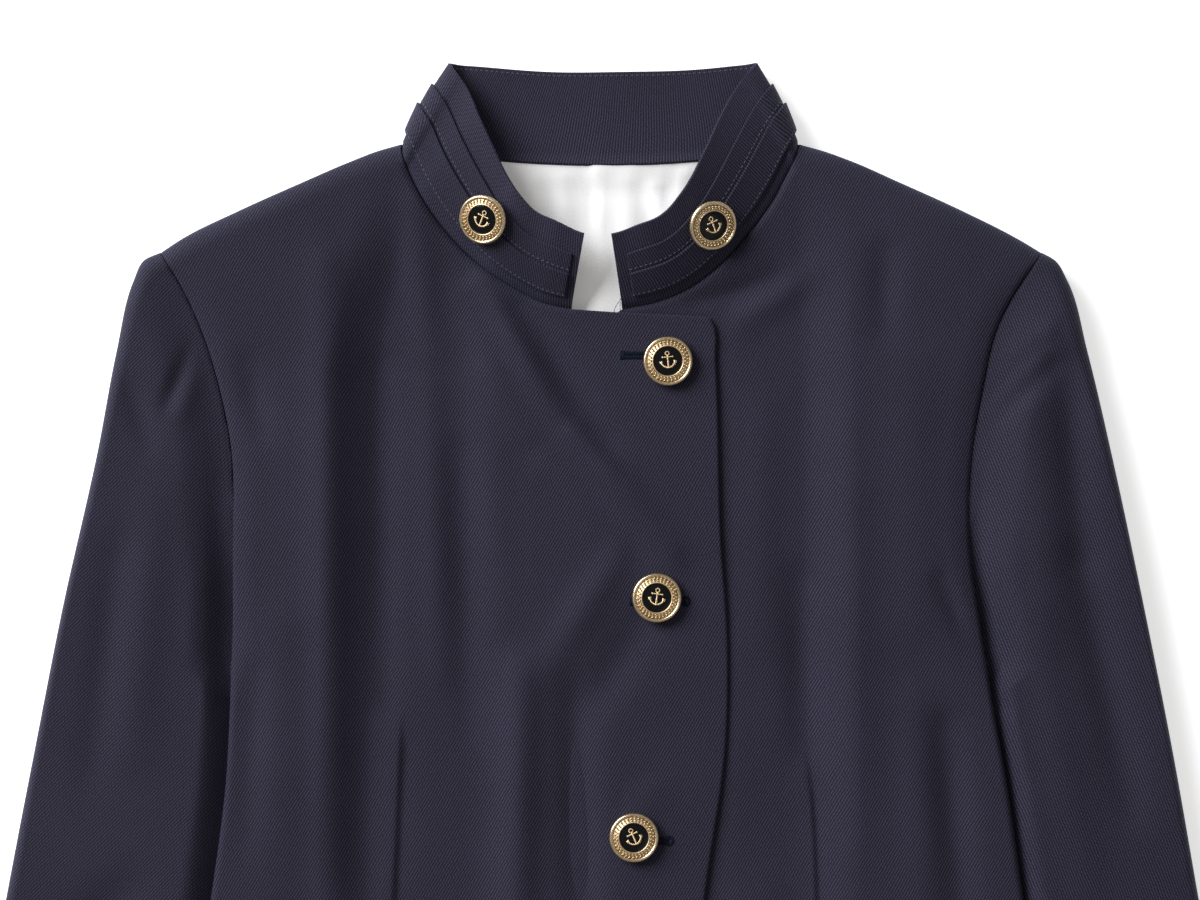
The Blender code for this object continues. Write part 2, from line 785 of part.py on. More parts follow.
def collar_button_seats(columns):
    """Where the two collar buttons sit, on the strips of each front half."""
    seats = {}
    for name, (across, down) in COLLAR_BUTTONS.items():
        target = Vector((across, -down))
        best = None
        for a, b in zip(columns, columns[1:]):
            for step in range(21):
                share = step / 20
                foot = a[0].lerp(b[0], share)
                top = a[1].lerp(b[1], share)
                if foot.z < FRONT_HEIGHT - 1.0:
                    continue
                point = foot.lerp(top, COLLAR_BUTTON_SHARE)
                away = (point.xy - target).length
                if best is None or away < best[0]:
                    normal = (top - foot).cross(b[0] - a[0]).normalized()
                    best = (away, point, normal)
        _, point, normal = best
        height = SEAM_GAP + STRIP_CLOTH + LOWER_STRIP_LIFT + BUTTON_GAP
        seats[name] = (Vector((*target, point.z)) + normal * height, normal)
    return seats


def turned(name, profile, steps, material, collection):
    """A round piece from a profile that runs down its outer side."""
    mesh = bpy.data.meshes.new(name)
    points = [(radius * MM, 0.0, height * MM) for radius, height in profile]
    edges = [(n, n + 1) for n in range(len(points) - 1)]
    mesh.from_pydata(points, edges, [])
    mesh.materials.append(material)
    piece = bpy.data.objects.new(name, mesh)
    collection.objects.link(piece)
    turn = piece.modifiers.new("turn", "SCREW")
    turn.steps = steps
    turn.render_steps = steps
    turn.use_merge_vertices = True
    turn.merge_threshold = 0.00001
    turn.use_smooth_shade = True
    return piece


def button(name, centre, normal, metal, enamel, collection):
    """A domed metal button with an enamel centre let into it."""
    well = ENAMEL_RADIUS + SEAM_GAP
    shell = [
        (0.0, 2.2),
        (well, 2.2),
        (well, 3.3),
        (9.4, 3.4),
        (10.2, BUTTON_HEIGHT),
        (BUTTON_RADIUS, 2.6),
        (9.8, 0.4),
        (5.0, 0.0),
        (0.0, 0.0),
    ]
    centre_disk = [
        (0.0, 3.6),
        (4.4, 3.5),
        (ENAMEL_RADIUS, 3.1),
        (ENAMEL_RADIUS, 2.2 + SEAM_GAP),
        (0.0, 2.2 + SEAM_GAP),
    ]
    turn = normal.to_track_quat("Z", "Y")
    for part, profile, steps, material in (
        ("rim", shell, 20, metal),
        ("enamel", centre_disk, 16, enamel),
    ):
        piece = turned(f"{name}_{part}", profile, steps, material, collection)
        piece.rotation_mode = "QUATERNION"
        piece.rotation_quaternion = turn
        piece.location = place_in_row(centre)


def build():
    for old in list(bpy.data.objects):
        bpy.data.objects.remove(old, do_unlink=True)
    blazer = new_collection(COLLECTION)
    navy = finish("navy_twill", (0.034, 0.031, 0.050), 0.85, sheen=0.2)
    collar_navy = finish("navy_twill_collar", (0.034, 0.031, 0.050), 0.85, sheen=0.2)
    white = finish("white_lining", (0.86, 0.86, 0.85), 0.6)
    gold = finish("brushed_gold", (0.60, 0.40, 0.17), 0.3, metallic=1.0)
    black = finish("black_enamel", (0.01, 0.01, 0.01), 0.12)

    right = front_grid(-1, across_line(LAP_TOP), across_line(LAP_EDGE), laps=True)
    left = front_grid(1, across_line(UNDER_TOP), across_line(UNDER_EDGE), laps=False)
    rear = back_grid()
    cloth_from_grid("front_right", right, CLOTH, navy, blazer, flip=True)
    cloth_from_grid("front_left", left, CLOTH, navy, blazer)
    cloth_from_grid("back", rear, CLOTH, navy, blazer)
    cloth_from_grid("back_lining", lining_grid(rear), LINING_CLOTH, white, blazer, flip=True)

    for name, side, front in (("sleeve_right", -1, right), ("sleeve_left", 1, left)):
        rings = sleeve_grid(side, front, rear)
        cloth_from_grid(name, rings, SLEEVE_CLOTH, navy, blazer, ring=True, flip=side < 0)

    columns = collar_columns(right, left, rear)
    band = collar_points(columns, COLLAR_ROWS, [0.0] * len(COLLAR_ROWS))
    cloth_from_grid("collar_band", band, COLLAR_CLOTH, collar_navy, blazer, flip=True)
    flat = SEAM_GAP + STRIP_CLOTH
    upper = collar_points(columns, [0.44, 0.72], [flat, flat], ends=(7.0, 4.5))
    cloth_from_grid("collar_strip_upper", upper, STRIP_CLOTH, collar_navy, blazer, flip=True)
    lower = collar_points(columns, [0.14, 0.47], [flat, flat + LOWER_STRIP_LIFT], ends=(7.0, 4.5))
    cloth_from_grid("collar_strip_lower", lower, STRIP_CLOTH, collar_navy, blazer, flip=True)

    for number, (x, down) in enumerate(FRONT_BUTTONS, start=1):
        height = front_top(x, down, True) + LAP_RISE + BUTTON_GAP
        seat = Vector((x, -down, height))
        button(f"button_front_{number}", seat, Vector((0.0, 0.0, 1.0)), gold, black, blazer)
    for name, (place, normal) in collar_button_seats(columns).items():
        button(name, place, normal, gold, black, blazer)


build()
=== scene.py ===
"""Stand-collar blazer in navy wool twill, laid flat and seen from straight above.

Plan sizes are in millimetres on the laid garment: X runs to the wearer's left of the
centre line, and "down" is the distance below the back neck seam.
"""
import bisect
import math

import bmesh
import bpy
from mathutils import Matrix, Vector, noise


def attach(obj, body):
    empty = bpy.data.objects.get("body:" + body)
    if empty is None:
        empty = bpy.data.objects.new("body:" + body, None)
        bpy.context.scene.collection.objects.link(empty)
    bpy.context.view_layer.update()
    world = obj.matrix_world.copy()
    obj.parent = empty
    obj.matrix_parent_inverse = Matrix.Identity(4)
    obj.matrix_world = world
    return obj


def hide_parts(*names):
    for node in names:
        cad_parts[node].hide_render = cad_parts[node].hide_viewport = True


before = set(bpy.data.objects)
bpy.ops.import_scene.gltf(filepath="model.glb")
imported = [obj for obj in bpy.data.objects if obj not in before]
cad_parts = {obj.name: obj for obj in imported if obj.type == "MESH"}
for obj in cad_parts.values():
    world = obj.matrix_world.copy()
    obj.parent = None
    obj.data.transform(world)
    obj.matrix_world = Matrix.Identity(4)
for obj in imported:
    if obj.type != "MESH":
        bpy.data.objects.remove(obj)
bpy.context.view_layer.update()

# Right front

# The wearer's right front, cut in one piece from the shoulder to the hem in navy wool
# twill. It laps over the left front and carries the buttons. A dart shapes the waist,
# and the cloth rolls over a thin pad at the shoulder.
MM = 0.001
BACK_LENGTH = 610
MIDDLE_OF_OUTLINE = Vector((0.5, -283.55, 0))
FRONT_HEIGHT = 6.5
SIDE_RISE = 6.5
SHOULDER_PAD = 3
LAP_RISE = 2.3
SHOULDER_SEAM_HEIGHT = 8.5
SHOULDER_SEAM_AT_NECK = 5.5
SIDE_SEAM_HEIGHT = 9.75
FOLD_REACH = 9
SIDE_FOLD_REACH = 4.5
CLOTH = 1.3
FOLD_DEPTH = 2
NECK_HALF_WIDTH = 88
FOLD_UNDER_MARK = 180
CUT_EDGE_RADIUS = 1.4

# Outline, a row a level: down, out to the wearer's right, out to the wearer's left
SHOULDER = [
    (-7.5, 88.4, 87.8), (-4.4, 99, 98.6), (0, 110, 110.4), (8.8, 130.2, 130.2), (22, 159.7, 159.3),
    (35.2, 186.1, 185.2), (40.5, 194, 194),
]
ARMHOLE = [
    (40.5, 194, 194), (52, 186.6, 186), (74, 176.2, 174.2), (99, 168.4, 168.3), (124, 163.4, 164.1),
    (175, 162.3, 162.7), (203, 162.3, 166.8), (240, 163.5, 172.6),
]
SIDE = [
    (240, 163.5, 172.6), (272, 165.2, 178.4), (325, 171.9, 186), (400, 184, 197), (480, 199, 211),
    (560, 216, 224), (BACK_LENGTH, 226, 232),
]
NECKLINE = [
    (-7.5, 88.4, 87.8), (-3.3, 88, 86.6), (5, 85, 82.7), (20.8, 76.6, 74), (34, 66.5, 63.8),
    (46.6, 53.2, 52.2), (56.4, 38.2, 38.9), (62.7, 25.6, 23.4), (65.4, 13.2, 9.5),
]
# Inner end of the raised side of the body: down, wearer's right, wearer's left
RISE_START = [
    (-20, 80, 84), (40, 87, 86), (97, 98, 88), (240, 100, 90), (300, 102, 90), (400, 96, 90),
    (440, 96, 93), (480, 101, 100), (560, 124, 124), (BACK_LENGTH, 138, 138),
]
# Free front edge: down, across
LAP_TOP = [(65.4, -13.2), (66.9, 9), (67.9, 28), (68.8, 47.8)]
LAP_EDGE = [
    (68.8, 47.8), (71.2, 49.4), (88, 50.6), (167, 52.9), (212, 55.9), (253, 55.4), (325, 45.8),
    (400, 38), (500, 35), (BACK_LENGTH, 34),
]
# Ridges and troughs: from (across, down), to, half width, height
RIGHT_FRONT_FOLDS = [
    (-82, 20, -76, 84, 8, 1), (-76, 100, -71, 225, 8, 0.9), (-121, 46, -118, 340, 9, 1.35),
    (-97, 90, -96, 240, 7, -1), (-62, 130, -58, 250, 8, -0.7), (-52, 96, -44, 200, 9, 0.7),
    (-52, 54, -19.5, 111, 6.5, 1.5), (-12.5, 120, 32, 172, 6, 1.9), (-34, 66, 2, 122, 8, -1.3),
    (-24, 134, 8, 166, 6, 0.8), (-60, 60, -36, 120, 7, 0.6), (6, 178, -22, 220, 7, 1.3),
    (20, 202, -4, 240, 8, -1.2), (-12, 236, -8, 350, 8, -1.7), (-36, 228, -38, 352, 9, 2.1),
    (14, 284, 31, 281, 3.6, 0.9), (4, 330, -2, 372, 10, 0.7), (-130, 60, -128, 190, 16, 0.6),
    (-156, 92, -150, 118, 7, -0.9), (-140, 206, -142, 320, 12, 0.8),
    (-152, 226, -156, 300, 6, -0.5), (-104, 330, -108, 440, 12, 0.9),
    (-132, 340, -146, 440, 14, -0.9), (-60, 400, -70, 560, 18, 1.1), (-6, 390, -12, 520, 13, -0.8),
    (-168, 420, -186, 560, 12, 0.8),
]
RIGHT_DART = [(-89.3, 250.8), (-89, 258.7), (-89.8, 269.7), (-90.2, 280.3), (-90.8, 295.2),
              (-91.5, 309.8), (-92.2, 320.8), (-92.6, 345), (-92, 372), (-91, 398)]
FRONT_BUTTONS = [(29.5, 88.4), (24.6, 192.7), (14.5, 298.3), (10, 403.5), (8, 508.5)]


def eased(value, start, end):
    """0 up to the start, 1 from the end on, and a soft run between them."""
    t = min(1, max(0, (value - start) / (end - start)))
    return t * t * (3 - 2 * t)


def close_to(distance, reach):
    """1 at an edge, falling to 0 at a reach from it."""
    return max(0, 1 - distance / reach) ** 2


def bell(off, half_width):
    return math.exp(-(off / half_width) ** 2)


def blend(a, b, t):
    return a + (b - a) * t


def at_level(table, down, side=-1):
    """Read a table at a distance down: a distance out to one side."""
    column = 1 if len(table[0]) == 2 or side < 0 else 2
    if down <= table[0][0]:
        return table[0][column]
    for upper, lower in zip(table, table[1:]):
        if down <= lower[0]:
            share = (down - upper[0]) / (lower[0] - upper[0])
            return blend(upper[column], lower[column], share)
    return table[-1][column]


class Line:
    """A smooth line on the plan, read by distance along it."""

    def __init__(self, points, steps=16):
        points = [Vector(point) for point in points]
        padded = [points[0] * 2 - points[1]] + points + [points[-1] * 2 - points[-2]]
        self.points = [points[0]]
        for a, b, c, d in zip(padded, padded[1:], padded[2:], padded[3:]):
            before = max((b - a).length, 1e-6)
            span = max((c - b).length, 1e-6)
            after = max((d - c).length, 1e-6)
            start = ((b - a) / before * span + (c - b) / span * before) / (before + span) * span
            end = ((c - b) / span * after + (d - c) / after * span) / (span + after) * span
            for step in range(1, steps + 1):
                t = step / steps
                self.points.append(
                    b * (2 * t ** 3 - 3 * t ** 2 + 1)
                    + start * (t ** 3 - 2 * t ** 2 + t)
                    + c * (3 * t ** 2 - 2 * t ** 3)
                    + end * (t ** 3 - t ** 2)
                )
        self.marks = [0]
        for a, b in zip(self.points, self.points[1:]):
            self.marks.append(self.marks[-1] + (b - a).length)
        self.length = self.marks[-1]

    def at(self, distance):
        distance = min(self.length, max(0, distance))
        high = min(len(self.marks) - 1, bisect.bisect_right(self.marks, distance))
        low = high - 1
        span = max(self.marks[high] - self.marks[low], 1e-9)
        return self.points[low].lerp(self.points[high], (distance - self.marks[low]) / span)

    def nearest(self, point):
        """Distance along the line of its nearest point, and how far off that is."""
        index = min(range(len(self.points)), key=lambda n: (self.points[n] - point).length_squared)
        return self.marks[index], (self.points[index] - point).length


def side_line(table, side):
    column = 1 if side < 0 else 2
    return Line([(side * row[column], -row[0]) for row in table])


def across_line(table):
    return Line([(row[1], -row[0]) for row in table])


SHOULDER_LINES, ARMHOLE_LINES, SIDE_LINES, NECK_LINES = [
    {side: side_line(table, side) for side in (-1, 1)} for table in (SHOULDER, ARMHOLE, SIDE, NECKLINE)
]


def fold_relief(folds, x, down):
    total = 0
    for x0, down0, x1, down1, half_width, height in folds:
        run_x, run_y = x1 - x0, down1 - down0
        share = ((x - x0) * run_x + (down - down0) * run_y) / (run_x * run_x + run_y * run_y)
        reach = min(1, max(0, share))
        off = math.hypot(x - x0 - run_x * reach, down - down0 - run_y * reach)
        if off < half_width * 3:
            swell = 0.72 + 0.28 * math.cos(4 * (reach - 0.45))
            total += FOLD_DEPTH * height * swell * bell(off, half_width)
    return total


def unevenness(x, down, seed):
    """The slow waviness of cloth that was smoothed out by hand."""
    slow = noise.noise(Vector((x / 70, down / 95, seed)))
    quick = noise.noise(Vector((x / 23, down / 31, seed + 9)))
    return 0.8 * slow + 0.2 * quick


def below_shoulder(x, down):
    table = [(row[1], row[0]) for row in SHOULDER]
    return down - at_level(table, abs(x))


def front_top(x, down, folds, dart, seed):
    """Height of a front's outer face away from its edges."""
    side = -1 if x < 0 else 1
    rise_start = at_level(RISE_START, down, side)
    outward = eased(abs(x), rise_start, rise_start + 25)
    near_shoulder = below_shoulder(x, down)
    upward = eased(near_shoulder, 80, 0)
    pad = eased(abs(x), 90, 160) * eased(near_shoulder, 110, 0)
    rise = 1 - (1 - outward) * (1 - upward)
    height = FRONT_HEIGHT + SIDE_RISE * rise + SHOULDER_PAD * pad
    height += fold_relief(folds, x, down) + unevenness(x, down, seed)
    if down > dart.first - 18:
        off = x - dart.across(down)
        depth = eased(down, dart.first - 5, dart.first + 7) * eased(down, dart.last, dart.last - 20)
        swell = 0.9 * bell(off, 7) if off < 0 else 1.6 * bell(off, 1.2) - 0.7 * bell(off, 8)
        height += depth * swell
    return height


class Dart:
    """A sewn dart: its line on the plan."""

    def __init__(self, points):
        self.table = [(down, across) for across, down in points]
        self.first = self.table[0][0]
        self.last = self.table[-1][0]

    def across(self, down):
        return at_level(self.table, down)


def round_fold(distance, reach, power=2):
    """Share of the full height reached at a distance in from a folded edge."""
    return (1 - (1 - min(1, distance / reach)) ** power) ** 0.5


def fine(marks, steps):
    """Marks with steps between each two."""
    result = [marks[0]]
    for a, b in zip(marks, marks[1:]):
        result += [blend(a, b, n / steps) for n in range(1, steps + 1)]
    return result


def turned_in(reach, count):
    """Distances in from a fold, close together where the cloth turns down."""
    return [reach * (1 - math.cos(math.pi / 2 * n / count)) for n in range(count + 1)]


FOLD_MARKS = turned_in(FOLD_REACH, 9)
SIDE_FOLD_MARKS = turned_in(SIDE_FOLD_REACH, 7)
FRONT_STEPS = 8
BACK_STEPS = 6
FRONT_COLUMNS = 200


def armhole_marks(side):
    """Distances down the armhole seam below the fold at the shoulder."""
    return [FOLD_REACH, 14, 28, 46, 68, 92, 118, 142, 164, FOLD_UNDER_MARK, ARMHOLE_LINES[side].length]


def outer_edge(side):
    """Distances down the outer edge: armhole first, then the side."""
    along = armhole_marks(side)
    down_side = [0.05, 0.12, 0.22, 0.34, 0.48, 0.64, 0.81, 1]
    return along + [along[-1] + share * SIDE_LINES[side].length for share in down_side]


def outer_point(side, distance):
    armhole = ARMHOLE_LINES[side].length
    if distance <= armhole:
        return ARMHOLE_LINES[side].at(distance)
    return SIDE_LINES[side].at(distance - armhole)


def folded_share(side, distance):
    """0 at the armhole seam, 1 down the side, where the body folds under."""
    return eased(distance, FOLD_UNDER_MARK, ARMHOLE_LINES[side].length)


def shoulder_seam(x):
    return blend(SHOULDER_SEAM_AT_NECK, SHOULDER_SEAM_HEIGHT, eased(abs(x), NECK_HALF_WIDTH, 122))


def front_points(side, top_line, edge_line, height_at):
    neck = NECK_LINES[side]
    inner = [FOLD_REACH + (neck.length - FOLD_REACH) * n / 7 for n in range(8)]
    inner += [neck.length + top_line.length * n / 3 for n in range(1, 4)]
    inner += [neck.length + top_line.length + edge_line.length * (n / 8) ** 1.25 for n in range(1, 9)]
    outer_marks = FOLD_MARKS[:-1] + fine(outer_edge(side), FRONT_STEPS)
    inner_marks = FOLD_MARKS[:-1] + fine(inner, FRONT_STEPS)
    shoulder = SHOULDER_LINES[side]
    grid = []
    for index, (outer_mark, inner_mark) in enumerate(zip(outer_marks, inner_marks)):
        start = outer_point(side, outer_mark)
        if inner_mark <= neck.length:
            end = neck.at(inner_mark)
        elif inner_mark <= neck.length + top_line.length:
            end = top_line.at(inner_mark - neck.length)
        else:
            end = edge_line.at(inner_mark - neck.length - top_line.length)
        run = (end - start).length
        columns = SIDE_FOLD_MARKS + [blend(SIDE_FOLD_REACH, run - CUT_EDGE_RADIUS, n / FRONT_COLUMNS)
                                     for n in range(1, FRONT_COLUMNS + 1)]
        columns += [run - 0.9, run - 0.5, run - 0.2, run]
        curve_share = eased(index, 84, 0)
        line = []
        for inward in columns:
            share = inward / run
            bent = shoulder.at(shoulder.length * (1 - share))
            straight = shoulder.at(shoulder.length).lerp(shoulder.at(0), share)
            place = start.lerp(end, share) + (bent - straight) * curve_share
            height = height_at(place.x, -place.y)
            folded = folded_share(side, outer_mark)
            roll = 2 * close_to(inward, 13) * eased(outer_mark, 0, 30)
            roll += 0.9 * close_to(inward, 2.2) * eased(outer_mark, 0, 12)
            height -= roll * (1 - folded)
            if inward < SIDE_FOLD_REACH:
                turned = blend(SIDE_SEAM_HEIGHT + 0.3, height, round_fold(inward, SIDE_FOLD_REACH, 3))
                height = blend(height, turned, folded)
            if outer_mark < FOLD_REACH:
                seam = shoulder_seam(place.x) + 0.2
                height = blend(seam, height, round_fold(outer_mark, FOLD_REACH))
            from_edge = run - inward
            if FOLD_REACH < inner_mark <= neck.length:
                height -= 1.1 * close_to(from_edge, 3)
            if inner_mark > neck.length and from_edge < CUT_EDGE_RADIUS:
                height -= 0.75 * (1 - round_fold(from_edge, CUT_EDGE_RADIUS))
            line.append(Vector((place.x, place.y, height)))
        grid.append(line)
    return grid


def in_row(point):
    return (point - MIDDLE_OF_OUTLINE) * MM


def made_up(name, shape, material):
    """Puts a worked shape into the scene as a piece of one material."""
    for face in shape.faces:
        face.smooth = True
    mesh = bpy.data.meshes.new(name)
    shape.to_mesh(mesh)
    shape.free()
    mesh.materials.append(material)
    piece = bpy.data.objects.new(name, mesh)
    bpy.context.scene.collection.objects.link(piece)
    return piece


def sewn_in(piece, node):
    """Lets a piece stand for its node of the solid part."""
    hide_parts(node)
    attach(piece, "root")


def cloth_piece(name, grid, thickness, material, flip=False, ring=False, lay=None):
    """A shell of cloth through a grid of points, with a UV map in metres of cloth."""
    shell = bmesh.new()
    across = len(grid[0]) - 1
    along = len(grid) - 1
    bmesh.ops.create_grid(shell, x_segments=across, y_segments=along, size=0.5)
    laid = shell.loops.layers.uv.new("cloth")
    spots = {vertex: (round((vertex.co.y + 0.5) * along), round((vertex.co.x + 0.5) * across))
             for vertex in shell.verts}
    for face in shell.faces:
        for loop in face.loops:
            row, column = spots[loop.vert]
            point = grid[row][column]
            loop[laid].uv = (point.xy if lay is None else Vector(lay[row][column])) * MM
    for vertex, (row, column) in spots.items():
        vertex.co = in_row(grid[row][column])
    if ring:
        bmesh.ops.remove_doubles(shell, verts=shell.verts, dist=0.00001)
    if flip:
        bmesh.ops.reverse_faces(shell, faces=shell.faces)
    piece = made_up(name, shell, material)
    wall = piece.modifiers.new("cloth thickness", "SOLIDIFY")
    wall.thickness = thickness * MM
    wall.offset = -1
    return piece


class Value:
    """A shader socket that takes part in plain arithmetic."""

    def __init__(self, material, socket):
        self.material = material
        self.socket = socket

    def maths(self, operation, *others):
        tree = self.material.node_tree
        node = tree.nodes.new("ShaderNodeMath")
        node.operation = operation
        for place, item in enumerate((self,) + others):
            if isinstance(item, Value):
                tree.links.new(item.socket, node.inputs[place])
            else:
                node.inputs[place].default_value = item
        return Value(self.material, node.outputs[0])

    def __add__(self, other):
        return self.maths("ADD", other)

    __radd__ = __add__

    def __mul__(self, other):
        return self.maths("MULTIPLY", other)

    __rmul__ = __mul__

    def __sub__(self, other):
        return self.maths("SUBTRACT", other)

    def __rsub__(self, other):
        return (self * -1) + other

    def __truediv__(self, other):
        return self.maths("DIVIDE", other)

    def wave(self):
        """Swings between 0 and 1, once for every whole step."""
        return (self * (2 * math.pi)).maths("SINE") * 0.5 + 0.5

    def clamped(self):
        return self.maths("MINIMUM", 1).maths("MAXIMUM", 0)


class Finish:
    """A material under construction, with one method for every other node."""

    def __init__(self, name, **constants):
        self.material = bpy.data.materials.new(name)
        self.material.use_nodes = True
        self.node_tree = self.material.node_tree
        self.shader = self.node_tree.nodes["Principled BSDF"]
        for socket, value in constants.items():
            self.shader.inputs[socket.replace("_", " ")].default_value = value

    def node(self, kind, settings=None, inputs=None, output=0):
        node = self.node_tree.nodes.new(kind)
        for key, value in (settings or {}).items():
            setattr(node, key, value)
        for key, value in (inputs or {}).items():
            if isinstance(value, Value):
                self.node_tree.links.new(value.socket, node.inputs[key])
            else:
                node.inputs[key].default_value = value
        return Value(self, node.outputs[output])

    def feed(self, socket, value):
        self.node_tree.links.new(value.socket, self.shader.inputs[socket])

    def split(self, place):
        """The first two coordinates of a place."""
        first = self.node("ShaderNodeSeparateXYZ", inputs={"Vector": place})
        return first, Value(self, first.socket.node.outputs[1])

    def speckle(self, place, scale, detail, roughness=0.5):
        return self.node("ShaderNodeTexNoise", inputs={"Vector": place, "Scale": scale, "Detail": detail,
                                                       "Roughness": roughness})

    def bump(self, height, strength, distance):
        self.feed("Normal", self.node("ShaderNodeBump", inputs={"Height": height, "Strength": strength,
                                                                "Distance": distance}))


def mixed(finish, factor, low, high):
    """One colour blended into another."""
    return finish.node("ShaderNodeMix", {"data_type": "RGBA"}, {0: factor, 6: low, 7: high}, 2)


def twill(name, lean, seed, pitch=1.15, painted_light_tint=(1, 1, 1)):
    """Navy wool twill: fine ribs that lean at an angle in degrees, with a soft nap."""
    finish = Finish(name, Roughness=0.82, Sheen_Weight=0.10, Sheen_Roughness=0.45,
                    Sheen_Tint=(0.45, 0.62, 1, 1), Specular_IOR_Level=0.22)
    place = finish.node("ShaderNodeTexCoord", output=2)
    drift = finish.speckle(place, 60, 1)
    angle = math.radians(lean)
    u, v = finish.split(place)
    across_rib = (u * math.sin(angle) - v * math.cos(angle)) / (pitch * MM) + drift * 1.1 + seed
    along_rib = (u * math.cos(angle) + v * math.sin(angle)) / (pitch * MM * 1.6) + drift * 0.7
    floats = (along_rib + across_rib * 0.5).wave()
    fuzz = finish.speckle(place, 2600, 2, 0.7)
    patch = finish.speckle(place, 22, 3, 0.55)
    slub = finish.speckle(place, 1300, 1)
    weave = across_rib.wave() * (slub * 1.3 + 0.05) + floats * 0.18 + fuzz * 0.85
    light = (weave * 1.5 + patch * 0.30 - 1.05).clamped()
    # The tint scales both yarn colours. Only the collar's copy of the twill uses it, to paint that cloth
    # lighter as painted light.
    dark_yarn = tuple(c * t for c, t in zip((0.0085, 0.0078, 0.0165), painted_light_tint)) + (1,)
    lit_yarn = tuple(c * t for c, t in zip((0.0440, 0.0400, 0.0700), painted_light_tint)) + (1,)
    finish.feed("Base Color", mixed(finish, light, dark_yarn, lit_yarn))
    finish.feed("Roughness", 0.92 - weave * 0.16)
    finish.bump(weave, 0.55, 0.00022)
    return finish.material


front_cloth = twill("navy_twill_front", 60, 0)
right_dart = Dart(RIGHT_DART)


def right_front_height(x, down):
    top = front_top(x, down, RIGHT_FRONT_FOLDS, right_dart, 1)
    return top + LAP_RISE * eased(x, -62, -28)


front_right_points = front_points(-1, across_line(LAP_TOP), across_line(LAP_EDGE), right_front_height)
front_right = cloth_piece("front_right_cloth", front_right_points, CLOTH, front_cloth, flip=True)
sewn_in(front_right, "front_right")


# Left front

# The wearer's left front in the same twill. Its front edge lies under the lap, so
# only the part to the side of the lap shows, with its own waist dart.
UNDER_TOP = [(65.4, 9.5), (68.4, 4), (69.8, -20)]
UNDER_EDGE = [(69.8, -20), (BACK_LENGTH, -21)]
LEFT_FRONT_FOLDS = [
    (44, 64, 76, 52, 6, -1.2), (64, 70, 92, 50, 7, 0.8), (125, 42, 125, 74, 7, -1),
    (88, 186, 90, 258, 8, -1.2), (108, 150, 112, 300, 13, 0.8), (150, 186, 163, 214, 5, -0.9),
    (152, 250, 160, 345, 8, -1.5), (138, 240, 142, 330, 9, 0.7), (72, 110, 69, 210, 9, 0.5),
    (136, 96, 138, 200, 12, 0.7), (70, 330, 64, 470, 13, 0.9), (112, 350, 124, 470, 13, -0.9),
    (150, 390, 172, 540, 15, 0.9), (84, 480, 88, 590, 13, -0.8),
]
LEFT_DART = [(89.8, 267.1), (92, 278.5), (93.3, 295.2), (94.2, 323.4), (94.6, 350),
             (94, 376), (93, 402)]
left_dart = Dart(LEFT_DART)


def left_front_height(x, down):
    top = front_top(x, down, LEFT_FRONT_FOLDS, left_dart, 5)
    under_lap = eased(x, 62, 48)
    plain = FRONT_HEIGHT - 0.35 + SIDE_RISE * eased(below_shoulder(x, down), 80, 0)
    return blend(top, plain, under_lap * eased(down, 58, 68))


front_left_points = front_points(1, across_line(UNDER_TOP), across_line(UNDER_EDGE), left_front_height)
front_left = cloth_piece("front_left_cloth", front_left_points, CLOTH, front_cloth)
sewn_in(front_left, "front_left")


# Back

# The back in navy twill, with a seam down its middle. It lies on the table and is
# lifted near the sides, where the inner halves of the sleeves lie beneath it.
BACK_OVER_SLEEVE = 6.5
BACK_NECK_HEIGHT = 2.9
BACK_NECK_DIP = 7.5
SLEEVE_INNER = [
    (240.3, 163.8, 172.9), (241.5, 164.5, 173.8), (244.5, 164.7, 174.3), (250, 162.6, 172.4),
    (257, 159.4, 169.2), (266, 155.4, 165), (278, 150.2, 159.4), (295, 143.6, 151.8),
    (325, 136, 142), (360, 131, 134), (420, 132, 134), (480, 141, 142), (560, 165, 166),
    (609, 180, 182),
]
BACK_FOLDS = [
    (-60, 60, -72, 200, 16, 1.4), (40, 80, 62, 230, 14, 1.2), (-20, 260, -34, 420, 16, 1.3),
    (70, 330, 84, 480, 14, 1), (-90, 420, -104, 560, 15, 1.2), (20, 470, 26, 590, 14, 1.1),
    (110, 40, 132, 110, 11, 0.9),
]


def back_lift(x, down):
    side = -1 if x < 0 else 1
    if down < 200:
        return 0
    edge = at_level(SLEEVE_INNER, max(down, 254), side)
    return BACK_OVER_SLEEVE * eased(down, 200, 238) * eased(abs(x), edge - 43, edge - 17)


def neck_corner(x):
    return eased(abs(x), NECK_HALF_WIDTH - 9, NECK_HALF_WIDTH)


def back_neck(x):
    """How far the back neckline stands above its own middle."""
    return BACK_NECK_DIP * (x / NECK_HALF_WIDTH) ** 2


